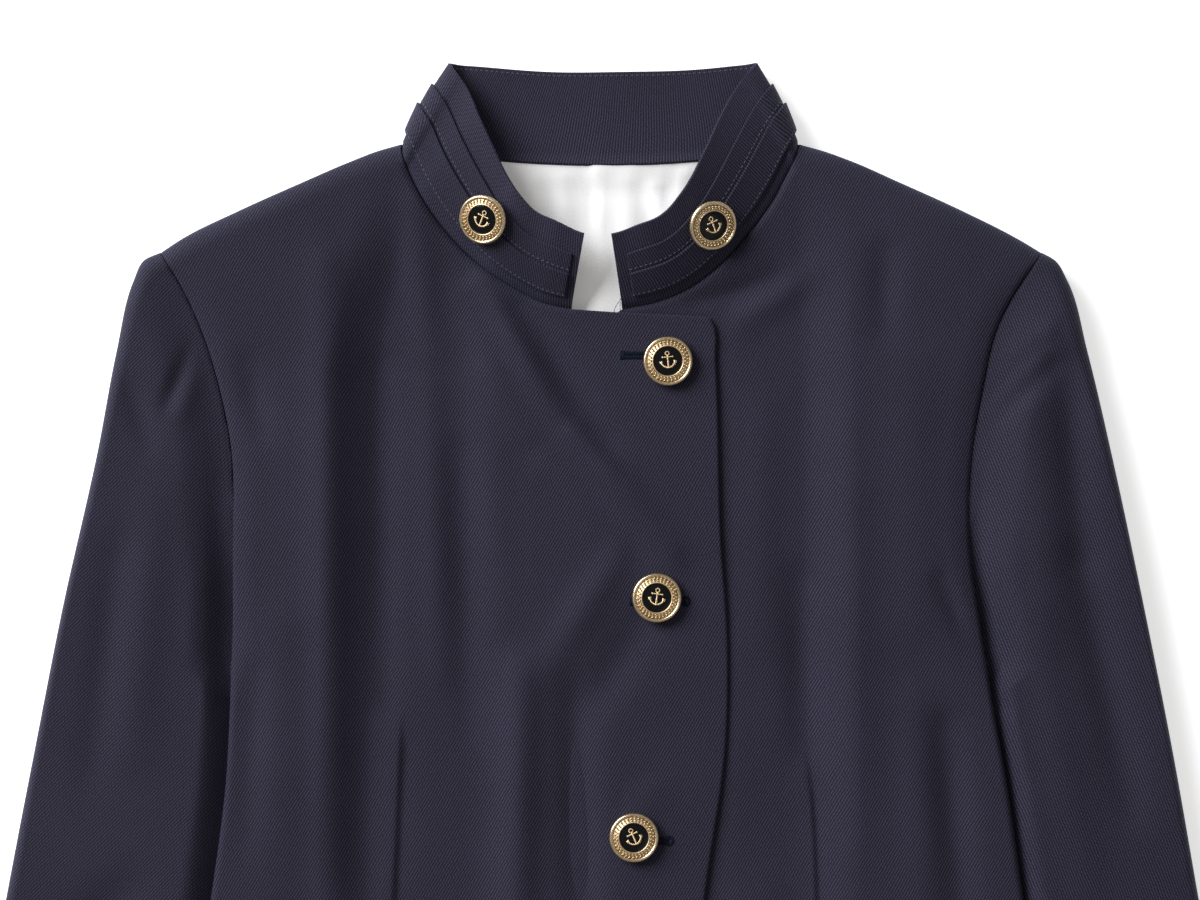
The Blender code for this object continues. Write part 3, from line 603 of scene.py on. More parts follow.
def back_points():
    """Rows from the shoulders and neckline down to the hem, right side to left."""
    marks = {side: FOLD_MARKS[:-1] + fine(outer_edge(side), BACK_STEPS) for side in (-1, 1)}
    tops = []
    for side in (-1, 1):
        line = SHOULDER_LINES[side]
        part = [line.at(line.length - inward) for inward in SIDE_FOLD_MARKS]
        reach = line.length - SIDE_FOLD_REACH
        part += [line.at(reach * (1 - n / 24)) for n in range(1, 25)]
        tops.append(part)
    neck = []
    for n in range(1, 60):
        x = blend(-88.4, 87.8, n / 60)
        neck.append(Vector((x, back_neck(x))))
    top = tops[0] + neck + list(reversed(tops[1]))
    shares = [0]
    for a, b in zip(top, top[1:]):
        shares.append(shares[-1] + (b - a).length)
    shares = [value / shares[-1] for value in shares]
    grid = []
    for index in range(len(marks[-1])):
        ends = {side: outer_point(side, marks[side][index]) for side in (-1, 1)}
        still_curved = 1 - (top[0].y - ends[-1].y) / (top[0].y + BACK_LENGTH)
        outer_mark = marks[-1][index]
        line = []
        for column, point in enumerate(top):
            from_edge = min(column, len(top) - 1 - column)
            side = -1 if column < len(top) / 2 else 1
            share = shares[column]
            curve = (point - top[0].lerp(top[-1], share)) * still_curved
            place = ends[-1].lerp(ends[1], share) + curve
            inward = 99
            if from_edge < len(SIDE_FOLD_MARKS):
                inward = SIDE_FOLD_MARKS[from_edge]
                place = Vector((ends[side].x - side * inward, ends[side].y + curve.y))
            down = -place.y
            base = back_lift(place.x, down)
            if inward < SIDE_FOLD_REACH:
                turned = blend(SIDE_SEAM_HEIGHT - 0.3, base, round_fold(inward, SIDE_FOLD_REACH, 3))
                base = blend(base, turned, folded_share(side, marks[side][index]))
            on_neck = from_edge >= len(tops[0])
            if not on_neck and outer_mark < FOLD_REACH:
                seam = shoulder_seam(place.x) - 0.2
                base = blend(seam, base, round_fold(outer_mark, FOLD_REACH))
            if on_neck:
                corner = neck_corner(place.x)
                edge = blend(BACK_NECK_HEIGHT, SHOULDER_SEAM_AT_NECK - 0.65, corner)
                from_neck = back_neck(place.x) - place.y
                soft = eased(from_neck, 16, 0)
                hard = 1 - round_fold(outer_mark, FOLD_REACH) if outer_mark < FOLD_REACH else 0
                base = max(base, edge * blend(soft, hard, corner))
            clear = eased(min(down + 10, BACK_LENGTH - down), 0, 30) * eased(from_edge, 0, 12)
            base += fold_relief(BACK_FOLDS, place.x, down) * clear
            base += 0.5 * bell(place.x, 1.6) * clear
            line.append(Vector((place.x, place.y, max(0, base))))
        grid.append(line)
    return grid


back_cloth = twill("navy_twill_back", 60, 0.4)
back_grid = back_points()
back = cloth_piece("back_cloth", back_grid, CLOTH, back_cloth)
sewn_in(back, "back")


# Sleeves

# Two set-in sleeves, each a tube with a rounded head over the pad. The inner half of
# each lies beneath the body, so a soft valley runs down beside the side seam.
SLEEVE_HEAD_HEIGHT = 17
CUFF_HEIGHT = 12
HIDDEN_SLEEVE_HEIGHT = 5.2
UNDERARM_HEIGHT = 5
SLEEVE_CLOTH = 1.2
SLEEVE_OUTER = [
    (40.5, 194.3, 194.3), (44, 201.5, 200.2), (52.8, 205.9, 205.5), (83.6, 213.4, 214.3),
    (127.6, 221.8, 224.8), (193.6, 236.7, 238.9), (259.6, 249.9, 252.1), (321.2, 261.8, 263.1),
    (400, 276, 277), (480, 289, 290), (597, 303, 304),
]
# Along the outer fold, along the armhole seam, along the inner fold
SLEEVE_RINGS = [
    (0, 0, 0), (4, 46, 0), (10, 68, 0), (19, 92, 0), (32, 118, 0), (50, 142, 0), (76, 164, 0),
    (106, 180, 0), (142, 199, 0), (178, 199, 5), (212, 199, 13), (246, 199, 28), (284, 199, 54),
    (326, 199, 90), (372, 199, 136), (422, 199, 192), (474, 199, 254), (526, 199, 318),
    (575, 199, 384),
]
SLEEVE_FOLDS = [
    (205, 92, 212, 176, 8, -1.6), (212, 176, 233, 285, 9, -1.6), (188, 110, 196, 210, 9, 0.7),
    (190, 200, 214, 320, 9, 0.7), (170.3, 102.5, 192.3, 80.5, 4, -1.2),
    (172.5, 114, 198.4, 91.1, 4.5, -1), (176, 96, 196, 75, 4, 0.7),
    (-180.4, 82.7, -190.5, 107.4, 3.6, -1.2), (-174, 86, -183, 110, 4, 0.7),
    (-206.8, 102.5, -198.4, 123.2, 5, -0.9), (-196, 150, -206, 260, 10, 0.8),
    (-212, 170, -224, 270, 8, -0.8), (-206, 320, -238, 350, 9, -1.2), (210, 340, 250, 372, 9, -1.2),
    (-220, 430, -262, 452, 10, -1), (234, 450, 270, 472, 10, -1),
]


def sleeve_points(side):
    """Rings of a sleeve from its armhole seam to its cuff, front half then back half."""
    outer = side_line(SLEEVE_OUTER, side)
    inner = side_line(SLEEVE_INNER, side)
    seam = ARMHOLE_LINES[side]
    front_edge = [row[0] for row in (front_right_points if side < 0 else front_left_points)]
    back_edge = [row[0 if side < 0 else -1] for row in back_grid]
    front_marks = FOLD_MARKS[:-1] + fine(armhole_marks(side), FRONT_STEPS)
    back_marks = FOLD_MARKS[:-1] + fine(armhole_marks(side), BACK_STEPS)
    seam_heights = {
        True: [(mark, point.z) for mark, point in zip(front_marks, front_edge)],
        False: [(mark, point.z) for mark, point in zip(back_marks, back_edge)],
    }

    def seam_height(mark, upper):
        table = seam_heights[upper]
        level = at_level(table, mark)
        if mark < 0.01:
            level = SHOULDER_SEAM_HEIGHT
        if upper:
            return blend(level, UNDERARM_HEIGHT, eased(mark, 112, 172))
        level += 0.5 * tucked(mark)
        return blend(level, UNDERARM_HEIGHT, eased(mark, 176, seam.length))

    def tucked(mark):
        """How far the sleeve's edge runs in under the body low on the armhole."""
        return 4.2 * eased(mark, 108, 158)

    def station(ring, mark, upper):
        outer_reach, seam_reach, inner_reach = ring
        seam_reach = min(seam_reach, seam.length)
        on_seam = inner_reach == 0 and mark >= seam_reach
        near_seam = Vector((side * 0.84, -0.2)).normalized()
        if on_seam or outer_reach == 0:
            place = seam.at(mark) + near_seam * (0.3 - tucked(mark))
            along = mark / seam.length
        else:
            along = mark / max(seam_reach, 0.001) if inner_reach == 0 else mark / seam.length
            chord_end = inner.at(inner_reach) if inner_reach > 0 else seam.at(seam_reach)
            follow = close_to(outer_reach, 190)
            bulge = seam.at(mark) - seam.at(0).lerp(seam.at(seam_reach), along)
            place = outer.at(outer_reach).lerp(chord_end, along) + bulge * follow
            tuck = tucked(seam_reach) if inner_reach == 0 else 5 * eased(inner_reach, 52, 12)
            tuck *= along ** 3
            place += near_seam * (0.3 * eased(outer_reach, 150, 0) - tuck)
        down = -place.y
        crown = blend(SLEEVE_HEAD_HEIGHT, CUFF_HEIGHT, eased(down, 0, 600))
        outside = abs(place.x) - at_level(SIDE if down > 240 else ARMHOLE, down, side)
        hidden = eased(down, 118, 178)
        valley = blend(1, eased(outside, -2.5, 12.5 if side < 0 else 9.5), hidden)
        height = blend(HIDDEN_SLEEVE_HEIGHT, crown, valley)
        height += (fold_relief(SLEEVE_FOLDS, place.x, down) + unevenness(place.x, down, 20 + side)) * valley
        fold = round_fold(mark, FOLD_REACH)
        fold *= round_fold(seam.length - mark, 14) if inner_reach > 0 else 1
        if not upper:
            height = crown * 0.9 if valley > 0.9 else height
        middle = height / 2
        level = middle + middle * fold if upper else middle - middle * fold
        nearest, distance = seam.nearest(place)
        if (place - seam.at(nearest)).dot(near_seam) < 0:
            distance = -distance
        distance = max(0, distance + tucked(nearest))
        ramp = 24 if upper else 11
        if inner_reach > 0:
            ramp = blend(ramp, 6, along ** 4)
        start_mark = mark if mark < FOLD_REACH else max(mark, nearest)
        level = blend(seam_height(start_mark, upper), level, eased(distance, 0, ramp))
        if upper and inner_reach == 0:
            level -= 0.9 * close_to(distance, 2.2) * eased(mark, 0, 12) * eased(distance, 0, 0.2)
        return Vector((place.x, place.y, level))

    rings = []
    for a, b in zip(SLEEVE_RINGS, SLEEVE_RINGS[1:]):
        for n in range(6):
            rings.append(tuple(blend(v, w, n / 6) for v, w in zip(a, b)))
    rings.append(SLEEVE_RINGS[-1])
    grid = []
    for ring in rings:
        line = [station(ring, mark, True) for mark in front_marks]
        line += [station(ring, mark, False) for mark in reversed(back_marks[1:-1])]
        line.append(line[0].copy())
        grid.append(line)
    return grid


for side, side_name, lean in ((-1, "right", 45), (1, "left", 112)):
    sleeve_cloth = twill(f"navy_twill_sleeve_{side_name}", lean, 0.2)
    sleeve = cloth_piece(f"sleeve_{side_name}_cloth", sleeve_points(side), SLEEVE_CLOTH, sleeve_cloth,
                         flip=side < 0, ring=True)
    sewn_in(sleeve, f"sleeve_{side_name}")


# Lining

# White twill lining sewn inside the back of the neck. It is cut with a little ease,
# so it ripples softly and folds into a small pleat at the centre back.
LINING_HALF_WIDTH = 75
LINING_ROWS = slice(3, 60)
LINING_RIB_PITCH = 1.05
LINING_RIPPLES = [
    (-30, 10, -26, 60, 5, 0.8), (-17, 8, -15, 50, 4, 0.6), (-43, 14, -36, 50, 4, 0.6),
    (12, 10, 13, 44, 4.5, 0.6), (24, 12, 30, 40, 4, 0.9), (37, 6, 27, 44, 3, 0.7),
    (-8, 34, 8, 46, 4, 0.6), (-6, 52, 4, 84, 5, 0.6),
]
lining_columns = [n for n, point in enumerate(back_grid[0]) if abs(point.x) < LINING_HALF_WIDTH]
lining_grid = []
for row in back_grid[LINING_ROWS]:
    line = []
    for n in lining_columns:
        x, down = row[n].x, -row[n].y
        pleat_line = 0.10 * (down - 10) - 4
        pleat = eased(x, pleat_line, pleat_line + 1.3) * eased(x, 26, -4)
        lift = CLOTH + 1 + fold_relief(LINING_RIPPLES, x, down) + 0.8 * pleat
        lift += 0.35 * noise.noise(Vector((x / 9, down / 16, 4)))
        line.append(row[n] + Vector((0, 0, lift)))
    lining_grid.append(line)

# The lining glows faintly (emission 0.14). This is painted light that brightens the cloth where the collar
# shades it.
lining_with_painted_glow = Finish("white_twill_lining_painted_glow", Roughness=0.5, Sheen_Weight=0.1, Specular_IOR_Level=0.35,
                       Emission_Color=(1, 1, 0.98, 1), Emission_Strength=0.14)
u, v = lining_with_painted_glow.split(lining_with_painted_glow.node("ShaderNodeTexCoord", output=2))
rib = ((u * 0.64 + v * 0.77) / (LINING_RIB_PITCH * MM)).wave()
lining_with_painted_glow.feed("Base Color", mixed(lining_with_painted_glow, rib, (0.88, 0.88, 0.86, 1), (0.97, 0.97, 0.96, 1)))
lining_with_painted_glow.bump(rib, 0.35, 0.0001)
lining = cloth_piece("back_lining_cloth", lining_grid, 0.35, lining_with_painted_glow.material, flip=True)
sewn_in(lining, "back_lining")


# Collar band

# The stand collar: a doubled band of twill, sewn to the neckline. It stands up at the
# sides, lies back behind the neck, and leaves a gap at the front.
COLLAR_CLOTH = 2
COLLAR_RISE = 15
COLLAR_WIDTH = 39.6
COLLAR_CLEARANCE = 0.5
NECK_ROWS = 66
COLLAR_TOP = [
    (-43.3, 67.2, 69), (-33, 59.8, 60.6), (-18.5, 53.7, 52.3), (-5.1, 47.5, 46.2),
    (13.2, 37.8, 36.9), (22, 30, 30.1), (27.4, 21.6, 22.7), (30.8, 12.8, 11.8), (33, 7.6, 4.7),
]


def collar_half(side, feet):
    """Foot and top-edge points of a front half, from the shoulder to the front end."""
    top = side_line(COLLAR_TOP, side)
    marks = [0]
    for a, b in zip(feet, feet[1:]):
        marks.append(marks[-1] + (b.xy - a.xy).length)
    half = []
    for foot, mark in zip(feet, marks):
        reach = mark / marks[-1]
        near = min(mark, FOLD_REACH)
        edge = top.at(blend(near, top.length * reach, eased(mark, 0, FOLD_REACH)))
        level = blend(8 + 5 * round_fold(near, FOLD_REACH), foot.z + COLLAR_RISE, eased(reach, 0, 0.625))
        inward = (edge - foot.xy).normalized() * 0.3
        wave = 0.5 * math.sin(reach * 9 + side) * eased(reach, 0, 0.25) * eased(reach, 1, 0.75)
        wave += 0.5 * math.sin(reach * 31) * eased(reach, 0.6, 0.85)
        half.append((Vector((foot.x + inward.x, foot.y + inward.y, foot.z)),
                     Vector((edge.x, edge.y + wave * 0.8, level + wave))))
    return half


def collar_lines():
    feet = {-1: [line[-1] for line in front_right_points[:NECK_ROWS]],
            1: [line[-1] for line in front_left_points[:NECK_ROWS]]}
    halves = {side: collar_half(side, feet[side]) for side in (-1, 1)}
    lines = list(reversed(halves[-1]))
    corners = {side: side_line(COLLAR_TOP, side).at(0) for side in (-1, 1)}
    drop = Vector((0, 0, 1.3))
    lines.append((lines[-1][0] - drop, lines[-1][1] - drop))
    behind = [point for point in back_grid[0] if abs(point.x) < 87]
    low, high = behind[0].x - 1.4, behind[-1].x + 1
    for foot in behind:
        share = (foot.x - low) / (high - low)
        x = blend(corners[-1].x, corners[1].x, share)
        to_side = min(share, 1 - share) * (high - low)
        near_side = close_to(to_side, 12)
        wave = 0.35 * math.sin(share * 14) * eased(to_side, 0, 20)
        lines.append((Vector((foot.x, foot.y + 0.3, foot.z)),
                      Vector((x, 39.6 + 3.7 * (abs(x) / 67) ** 2 + wave * 0.5,
                              blend(BACK_NECK_HEIGHT, 8, near_side) + wave))))
    lines.append((halves[1][0][0] - drop, halves[1][0][1] - drop))
    return lines + halves[1]


collar = collar_lines()
collar_marks = [0]
for a, b in zip(collar, collar[1:]):
    collar_marks.append(collar_marks[-1] + max(0.2, (b[0].lerp(b[1], 0.4) - a[0].lerp(a[1], 0.4)).length))
collar_normals = []
for n in range(len(collar)):
    before, after = collar[max(0, n - 2)], collar[min(len(collar) - 1, n + 2)]
    run = (after[0] + after[1]) - (before[0] + before[1])
    collar_normals.append((collar[n][1] - collar[n][0]).cross(run).normalized())


def on_collar(n, share, lift):
    foot, top = collar[n]
    bow = 0.9 * math.sin(math.pi * min(1, max(0, share)))
    bow -= 0.9 * min(1.6, max(0, 1 - share / 0.06)) ** 2
    place = foot.lerp(top, share) + collar_normals[n] * (lift + bow)
    place.z = max(COLLAR_CLEARANCE, place.z)
    return place


def collar_grid(shares, lifts, first=0, last=None):
    last = len(collar) - 1 if last is None else last
    points = [[on_collar(n, share, lift) for n in range(first, last + 1)]
              for share, lift in zip(shares, lifts)]
    lay = [[(collar_marks[n], share * COLLAR_WIDTH) for n in range(first, last + 1)] for share in shares]
    return points, lay


def rounded_rim(piece, width):
    """Rolls the cut edges of a thickened piece."""
    roll = piece.modifiers.new("rolled edge", "BEVEL")
    roll.width = width * MM
    roll.segments = 3
    roll.limit_method = "ANGLE"
    roll.angle_limit = math.radians(60)


# The collar's copy of the twill is painted 8% lighter: painted light standing in for the extra light the
# collar catches.
collar_cloth = twill("navy_twill_collar", 84, 0.7, painted_light_tint=(1.08, 1.08, 1.08))
band_shares = [-0.06, 0, 0.04, 0.09, 0.14, 0.22, 0.30, 0.38, 0.44, 0.51, 0.58, 0.65, 0.72,
               0.79, 0.86, 0.93, 0.97, 1]
band_points, band_lay = collar_grid(band_shares, [0] * len(band_shares))
band = cloth_piece("collar_band_cloth", band_points, COLLAR_CLOTH - 0.2, collar_cloth,
                   flip=True, lay=band_lay)
rounded_rim(band, 0.55)
sewn_in(band, "collar_band")


# Collar strips

# Two strips of twill, folded at their edges and topstitched round the outside of the
# collar. The lower strip laps over the foot of the upper one.
STRIP_TRIM_RIGHT, STRIP_TRIM_LEFT = 2.4, 4


def collar_reach(trim, from_right):
    """Index of the first column at a distance from an end of the collar."""
    order = range(len(collar)) if from_right else range(len(collar) - 1, -1, -1)
    for n in order:
        if abs(collar_marks[n] - collar_marks[0 if from_right else -1]) >= trim:
            return n


strip_cloth = twill("navy_twill_strip", 70, 0.3)
strip_start = collar_reach(STRIP_TRIM_RIGHT, True)
strip_end = collar_reach(STRIP_TRIM_LEFT, False)
for strip_name, low, high, low_lift, high_lift, strip_width in (
    ("upper", 0.42, 0.72, 0.9, 1.4, 0.0124), ("lower", 0.14, 0.47, 1.4, 2.5, 0.0145),
):
    shares = [blend(low, high, t) for t in (0, 0.06, 0.14, 0.26, 0.4, 0.55, 0.7, 0.84, 0.93, 1)]
    lifts = [blend(low_lift, high_lift, n / 9) for n in range(10)]
    points, lay = collar_grid(shares, lifts, strip_start, strip_end)
    strip = cloth_piece(f"collar_strip_{strip_name}_cloth", points, 1.2, strip_cloth, flip=True, lay=lay)
    rounded_rim(strip, 0.4)
    sewn_in(strip, f"collar_strip_{strip_name}")


# Topstitching

# Fine stitches in a slightly paler navy thread along the top edge of the collar and
# the edges of its strips.
STITCH_PITCH = 2.3
STITCH_LENGTH = 1.5


def stitched(name, rows, material, width=0.42):
    """Stitches as small rounded lengths of thread: pairs of end points and a normal."""
    sewing = bmesh.new()
    for start, end, normal in rows:
        along = (end - start).normalized()
        side_way = normal.cross(along).normalized()
        turn = Matrix((along, side_way, normal)).transposed().to_4x4()
        size = Matrix.Diagonal(((end - start).length * 0.5 * MM, width * 0.5 * MM, width * 0.42 * MM, 1))
        place = Matrix.Translation(in_row((start + end) / 2))
        bmesh.ops.create_uvsphere(sewing, u_segments=6, v_segments=4, radius=1,
                                  matrix=place @ turn @ size)
    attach(made_up(name, sewing, material), "root")


def stitches_along(points, normals):
    """Evenly spaced stitches on a path of points."""
    rows = []
    mark, wanted = 0, 0.8
    for n in range(len(points) - 1):
        a, b = points[n], points[n + 1]
        span = (b - a).length
        while span > 0 and wanted <= mark + span:
            spot = a.lerp(b, (wanted - mark) / span)
            half = (b - a).normalized() * (STITCH_LENGTH / 2)
            rows.append((spot - half, spot + half, normals[n]))
            wanted += STITCH_PITCH
        mark += span
    return rows


pale_thread = Finish("navy_topstitch_thread", Base_Color=(0.075, 0.078, 0.11, 1), Roughness=0.6,
                     Sheen_Weight=0.3)
strip_range = range(strip_start, strip_end + 1)
rows = []
for share, lift in ((0.175, 1.55), (0.51, 1.15)):
    path = [on_collar(n, share, lift) for n in strip_range]
    rows += stitches_along(path, [collar_normals[n] for n in strip_range])
stitched("collar_strip_stitches", rows, pale_thread.material)
inside = range(NECK_ROWS + 1, len(collar) - NECK_ROWS - 1)
path = [on_collar(n, 0.955, -COLLAR_CLOTH + 0.15) for n in inside]
stitched("collar_edge_stitches", stitches_along(path, [-collar_normals[n] for n in inside]),
         pale_thread.material)


# Buttonholes and loose thread

# Keyhole buttonholes worked in dark navy thread along the lap edge, and one loose
# end of thread that lies on the lining below the collar.
BUTTONHOLES = [(10.2, 34, -85.8), (14.5, 39.9, -194.5), (7, 32.5, -300.1), (2.5, 28, -405),
               (0.5, 26, -510)]
BUTTONHOLE_HALF_WIDTH = 1.95
EYE_RADIUS, EYE_RIM_RADIUS = 1.2, 2.5
dark_thread = Finish("navy_buttonhole_thread", Base_Color=(0.004, 0.008, 0.020, 1), Roughness=0.6,
                     Specular_IOR_Level=0.12)
up = Vector((0, 0, 1))


def on_lap(x, y):
    """A spot just above the cloth of the lap."""
    return Vector((x, y, right_front_height(x, -y) + 0.12))


rows = []
for start_x, end_x, y in BUTTONHOLES:
    eye = end_x - 2.6
    steps = int((eye - start_x) / 0.7)
    for n in range(steps + 1):
        x = blend(start_x, eye, n / steps)
        jog = 0.14 * math.sin(n * 2.3)
        for side in (-1, 1):
            tip = y + side * (BUTTONHOLE_HALF_WIDTH + jog)
            rows.append((on_lap(x, y - side * 0.1), on_lap(x + 0.1 * jog, tip), up))
    for n in range(17):
        turn = math.radians(-152 + 304 * n / 16)
        near, far = [on_lap(eye + reach * math.cos(turn), y + reach * math.sin(turn))
                     for reach in (EYE_RADIUS, EYE_RIM_RADIUS)]
        rows.append((near, far, up))
    for n in range(4):
        x = start_x - 0.5 * n
        rows.append((on_lap(x, y - 2.3), on_lap(x, y + 2.3), up))
stitched("buttonholes", rows, dark_thread.material, width=0.72)

loose = [Vector((8.9, -60.4, 8.6)), Vector((8.2, -61.8, 7.6)), Vector((7, -63.4, 7.2)),
         Vector((6.1, -65.2, 7)), Vector((5.6, -67.2, 7.2))]
short = [Vector((8.6, -62, 7.4)), Vector((8.4, -64.4, 7.2)), Vector((8.7, -66.8, 7.2))]
rows = []
for ends in (loose, short):
    rows += [(a - (b - a) * 0.12, b + (b - a) * 0.12, up) for a, b in zip(ends, ends[1:])]
stitched("loose_thread", rows, dark_thread.material, width=0.28)


# Buttons

# Cast metal buttons in a pale gold finish: a smooth bevelled rim, a ring of small
# leaves, and a black enamel centre that carries a plain anchor.
BUTTON_RADIUS = 11
ENAMEL_RADIUS = 6.4
BUTTON_GAP = 0.3
COLLAR_BUTTONS = {"button_collar_right": (-51, 26), "button_collar_left": (48.2, 28.6)}
COLLAR_BUTTON_SHARE = 0.46
# Count, radius, lean and half length of the leaves in a ring
LEAF_RINGS = ((34, 8.68, 0.9, 0.66), (32, 7.66, -0.9, 0.60))

gold = Finish("pale_gold", Metallic=1)
gold_place = gold.node("ShaderNodeTexCoord", output=3)
wear = gold.speckle(gold_place, 900, 2)
radius, height = gold.split(gold.node("ShaderNodeUVMap", {"uv_map": "relief"}))
chased = ((9.25 - radius) * 8).clamped()
between_leaves = chased * ((radius - 6.95) * 8).clamped() * ((3.62 - height) / 0.30).clamped()
polished = mixed(gold, wear, (0.66, 0.45, 0.23, 1), (1, 0.87, 0.60, 1))
# Painted shade: the gaps between the leaves and the thin groove inside the rim are darkened towards dark
# brown.
groove = ((9.42 - radius) * 9).clamped() * ((radius - 9.02) * 9).clamped()
painted_shade_in_hollows = between_leaves * 0.30 + groove * 0.70
gold.feed("Base Color", mixed(gold, painted_shade_in_hollows, polished, (0.16, 0.10, 0.05, 1)))
gold.feed("Roughness", 0.20 + wear * 0.20 + chased * 0.16)
enamel = Finish("black_enamel", Base_Color=(0.004, 0.004, 0.005, 1), Roughness=0.14,
                Specular_IOR_Level=0.25)


def round_shape(mesh, profile, steps):
    """Spins a profile of radius and height into a closed round shape."""
    points = [mesh.verts.new((radius * MM, 0, height * MM)) for radius, height in profile]
    edges = [mesh.edges.new(pair) for pair in zip(points, points[1:])]
    bmesh.ops.spin(mesh, geom=points + edges, cent=(0, 0, 0), axis=(0, 0, 1),
                   angle=2 * math.pi, steps=steps, use_merge=True)
    bmesh.ops.remove_doubles(mesh, verts=mesh.verts, dist=0.000005)
    bmesh.ops.recalc_face_normals(mesh, faces=mesh.faces)


def blob(mesh, x, y, z, half_size, turn):
    """A small rounded bead, turned in the plane of the button."""
    place = Matrix.Translation((x * MM, y * MM, z * MM)) @ Matrix.Rotation(turn, 4, "Z")
    size = Matrix.Diagonal([half * MM for half in half_size] + [1])
    bmesh.ops.create_uvsphere(mesh, u_segments=8, v_segments=5, radius=1, matrix=place @ size)


def round_blob(mesh, radius, middle, turn, z, half_size, lean):
    """A bead on a circle, at an angle round it, whose length leans from the spoke."""
    blob(mesh, radius * math.cos(turn), middle + radius * math.sin(turn), z, half_size, turn + lean)


def placed(name, mesh_data, material, centre, normal, spin):
    turn = normal.to_track_quat("Z", "Y").to_matrix().to_4x4() @ Matrix.Rotation(spin, 4, "Z")
    relief = mesh_data.loops.layers.uv.new("relief")
    for face in mesh_data.faces:
        for loop in face.loops:
            x, y, z = loop.vert.co / MM
            loop[relief].uv = (math.hypot(x, y), z)
    bmesh.ops.transform(mesh_data, verts=mesh_data.verts, matrix=Matrix.Translation(in_row(centre)) @ turn)
    return made_up(name, mesh_data, material)


def make_button(name, centre, normal, spin):
    rim = bmesh.new()
    well = ENAMEL_RADIUS + 0.05
    round_shape(rim, [
        (0, 2.2), (well, 2.2), (well, 3.35), (well + 0.12, 3.6), (well + 0.4, 3.68), (well + 0.62, 3.5),
        (well + 0.75, 3.28), (9.05, 3.35), (9.2, 3.1), (9.38, 3.62), (9.7, 3.9), (10.1, 3.98), (10.5, 3.8),
        (10.82, 3.3), (BUTTON_RADIUS, 2.7), (10.9, 2.1), (10.3, 1), (9.8, 0.4), (5, 0), (0, 0),
    ], 72)
    for count, radius, lean, long in LEAF_RINGS:
        for n in range(count):
            turn = 2 * math.pi * (n + (0.5 if lean < 0 else 0)) / count
            uneven = 1 + 0.16 * math.sin(n * 3.7 + radius)
            round_blob(rim, radius, 0, turn, 3.42, (long * uneven, 0.32, 0.62), math.pi / 2 + lean)
    piece = placed(f"{name}_rim_metal", rim, gold.material, centre, normal, spin)
    sewn_in(piece, f"{name}_rim")

    centre_disk = bmesh.new()
    round_shape(centre_disk, [(0, 3.45), (2.5, 3.42), (4.8, 3.28), (6, 3.12), (ENAMEL_RADIUS, 3),
                              (ENAMEL_RADIUS, 2.5), (0, 2.5)], 56)
    piece = placed(f"{name}_enamel_disk", centre_disk, enamel.material, centre, normal, spin)
    sewn_in(piece, f"{name}_enamel")

    anchor = bmesh.new()
    quarter = math.pi / 2
    for step in range(9):
        blob(anchor, 0, blend(-2.9, 2.3, step / 8), 3.5, (0.50, 0.46, 0.55), 0)
    for step in range(10):
        round_blob(anchor, 0.85, 3.35, math.pi * step / 5, 3.42, (0.36, 0.34, 0.45), quarter)
    for step in range(7):
        blob(anchor, blend(-1.9, 1.9, step / 6), 1.75, 3.46, (0.42, 0.40, 0.48), 0)
    for side in (-1, 1):
        blob(anchor, side * 2.2, 1.75, 3.44, (0.52, 0.52, 0.50), 0)
        for step in range(9):
            turn = math.radians(-90 + side * 72 * step / 8)
            round_blob(anchor, 3.1, 0.2, turn, 3.38, (0.46, 0.48, 0.52), quarter)
        tip = math.radians(-90 + side * 78)
        round_blob(anchor, 3.15, 0.2, tip, 3.36, (1.05, 0.44, 0.50), quarter + side * 0.9)
        round_blob(anchor, 3.15, 0.2, tip, 3.36, (0.95, 0.42, 0.48), quarter - side)
    piece = placed(f"{name}_motif", anchor, gold.material, centre, normal, spin)
    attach(piece, "root")


for number, ((x, down), spin) in enumerate(zip(FRONT_BUTTONS, (0.10, -0.14, 0.42, 0.05, -0.2)), start=1):
    lap_top = FRONT_HEIGHT + LAP_RISE + BUTTON_GAP
    make_button(f"button_front_{number}", Vector((x, -down, lap_top)), up, math.pi + spin)

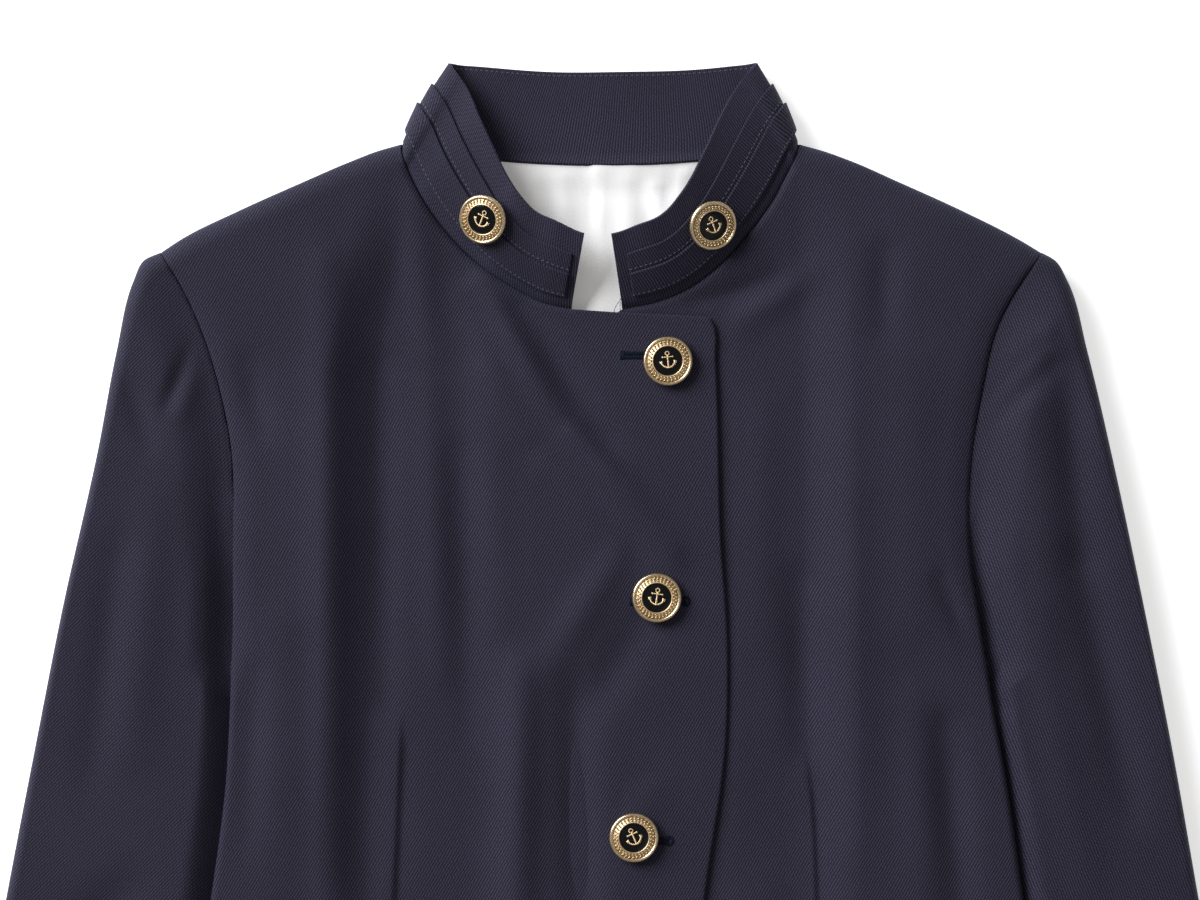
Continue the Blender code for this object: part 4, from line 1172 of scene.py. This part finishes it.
for name, (x, down) in COLLAR_BUTTONS.items():
    target = Vector((x, -down))
    best = None
    for n in range(2, len(collar) - 2):
        if collar[n][0].z < FRONT_HEIGHT - 1:
            continue
        point = on_collar(n, COLLAR_BUTTON_SHARE, 2.6)
        away = (point.xy - target).length
        if best is None or away < best[0]:
            best = (away, point.z, collar_normals[n])
    seat = Vector((*target, best[1])) + best[2] * (BUTTON_GAP * 0.5)
    make_button(name, seat, best[2], -0.5 if x > 0 else 0.55)


# Floor, light and camera

# The blazer lies on a plain white table, under one broad soft light from the upper
# left and an even fill, and is seen from straight above.
TABLE_HALF_WIDTH = 14
TABLE_DROP = 0.0004
floor = bmesh.new()
bmesh.ops.create_grid(floor, x_segments=2, y_segments=2, size=TABLE_HALF_WIDTH)
bmesh.ops.translate(floor, verts=floor.verts, vec=(0, 0, -TABLE_DROP))
table_finish = Finish("white_table", Base_Color=(0.96, 0.96, 0.96, 1), Roughness=0.8,
                      Emission_Color=(1, 1, 1, 1), Emission_Strength=0.55)
made_up("table_top", floor, table_finish.material)


def soft_light(name, place, target, size, power, colour=(1, 1, 1)):
    light = bpy.data.lights.new(name, "AREA")
    light.shape = "RECTANGLE"
    light.size, light.size_y = size
    light.energy = power
    light.color = colour
    lamp = bpy.data.objects.new(name, light)
    lamp.location = place
    lamp.rotation_euler = (Vector(target) - Vector(place)).to_track_quat("-Z", "Y").to_euler()
    bpy.context.scene.collection.objects.link(lamp)


soft_light("window_upper_left", (-3.06, 2.24, 2.30), (0, 0.1, 0), (2.6, 2.6), 285, (0.95, 0.955, 1))
soft_light("lower_right_fill", (1.1, -0.9, 1.9), (0, 0.1, 0), (1.6, 1.6), 2)
world = bpy.data.worlds.new("room")
world.use_nodes = True
world.node_tree.nodes["Background"].inputs[0].default_value = (1, 0.965, 0.92, 1)
world.node_tree.nodes["Background"].inputs[1].default_value = 0.25
bpy.context.scene.world = world
bpy.context.scene.view_settings.view_transform = "Standard"

CAMERA_HEIGHT = 1.5
SEEN_WIDTH = 0.528
camera_data = bpy.data.cameras.new("overhead")
camera_data.sensor_width = 36
camera_data.lens = 36 * (CAMERA_HEIGHT - 0.013) / SEEN_WIDTH
camera = bpy.data.objects.new("overhead", camera_data)
camera.location = (-0.00094, 0.15595, CAMERA_HEIGHT)
bpy.context.scene.collection.objects.link(camera)
bpy.context.scene.camera = camera
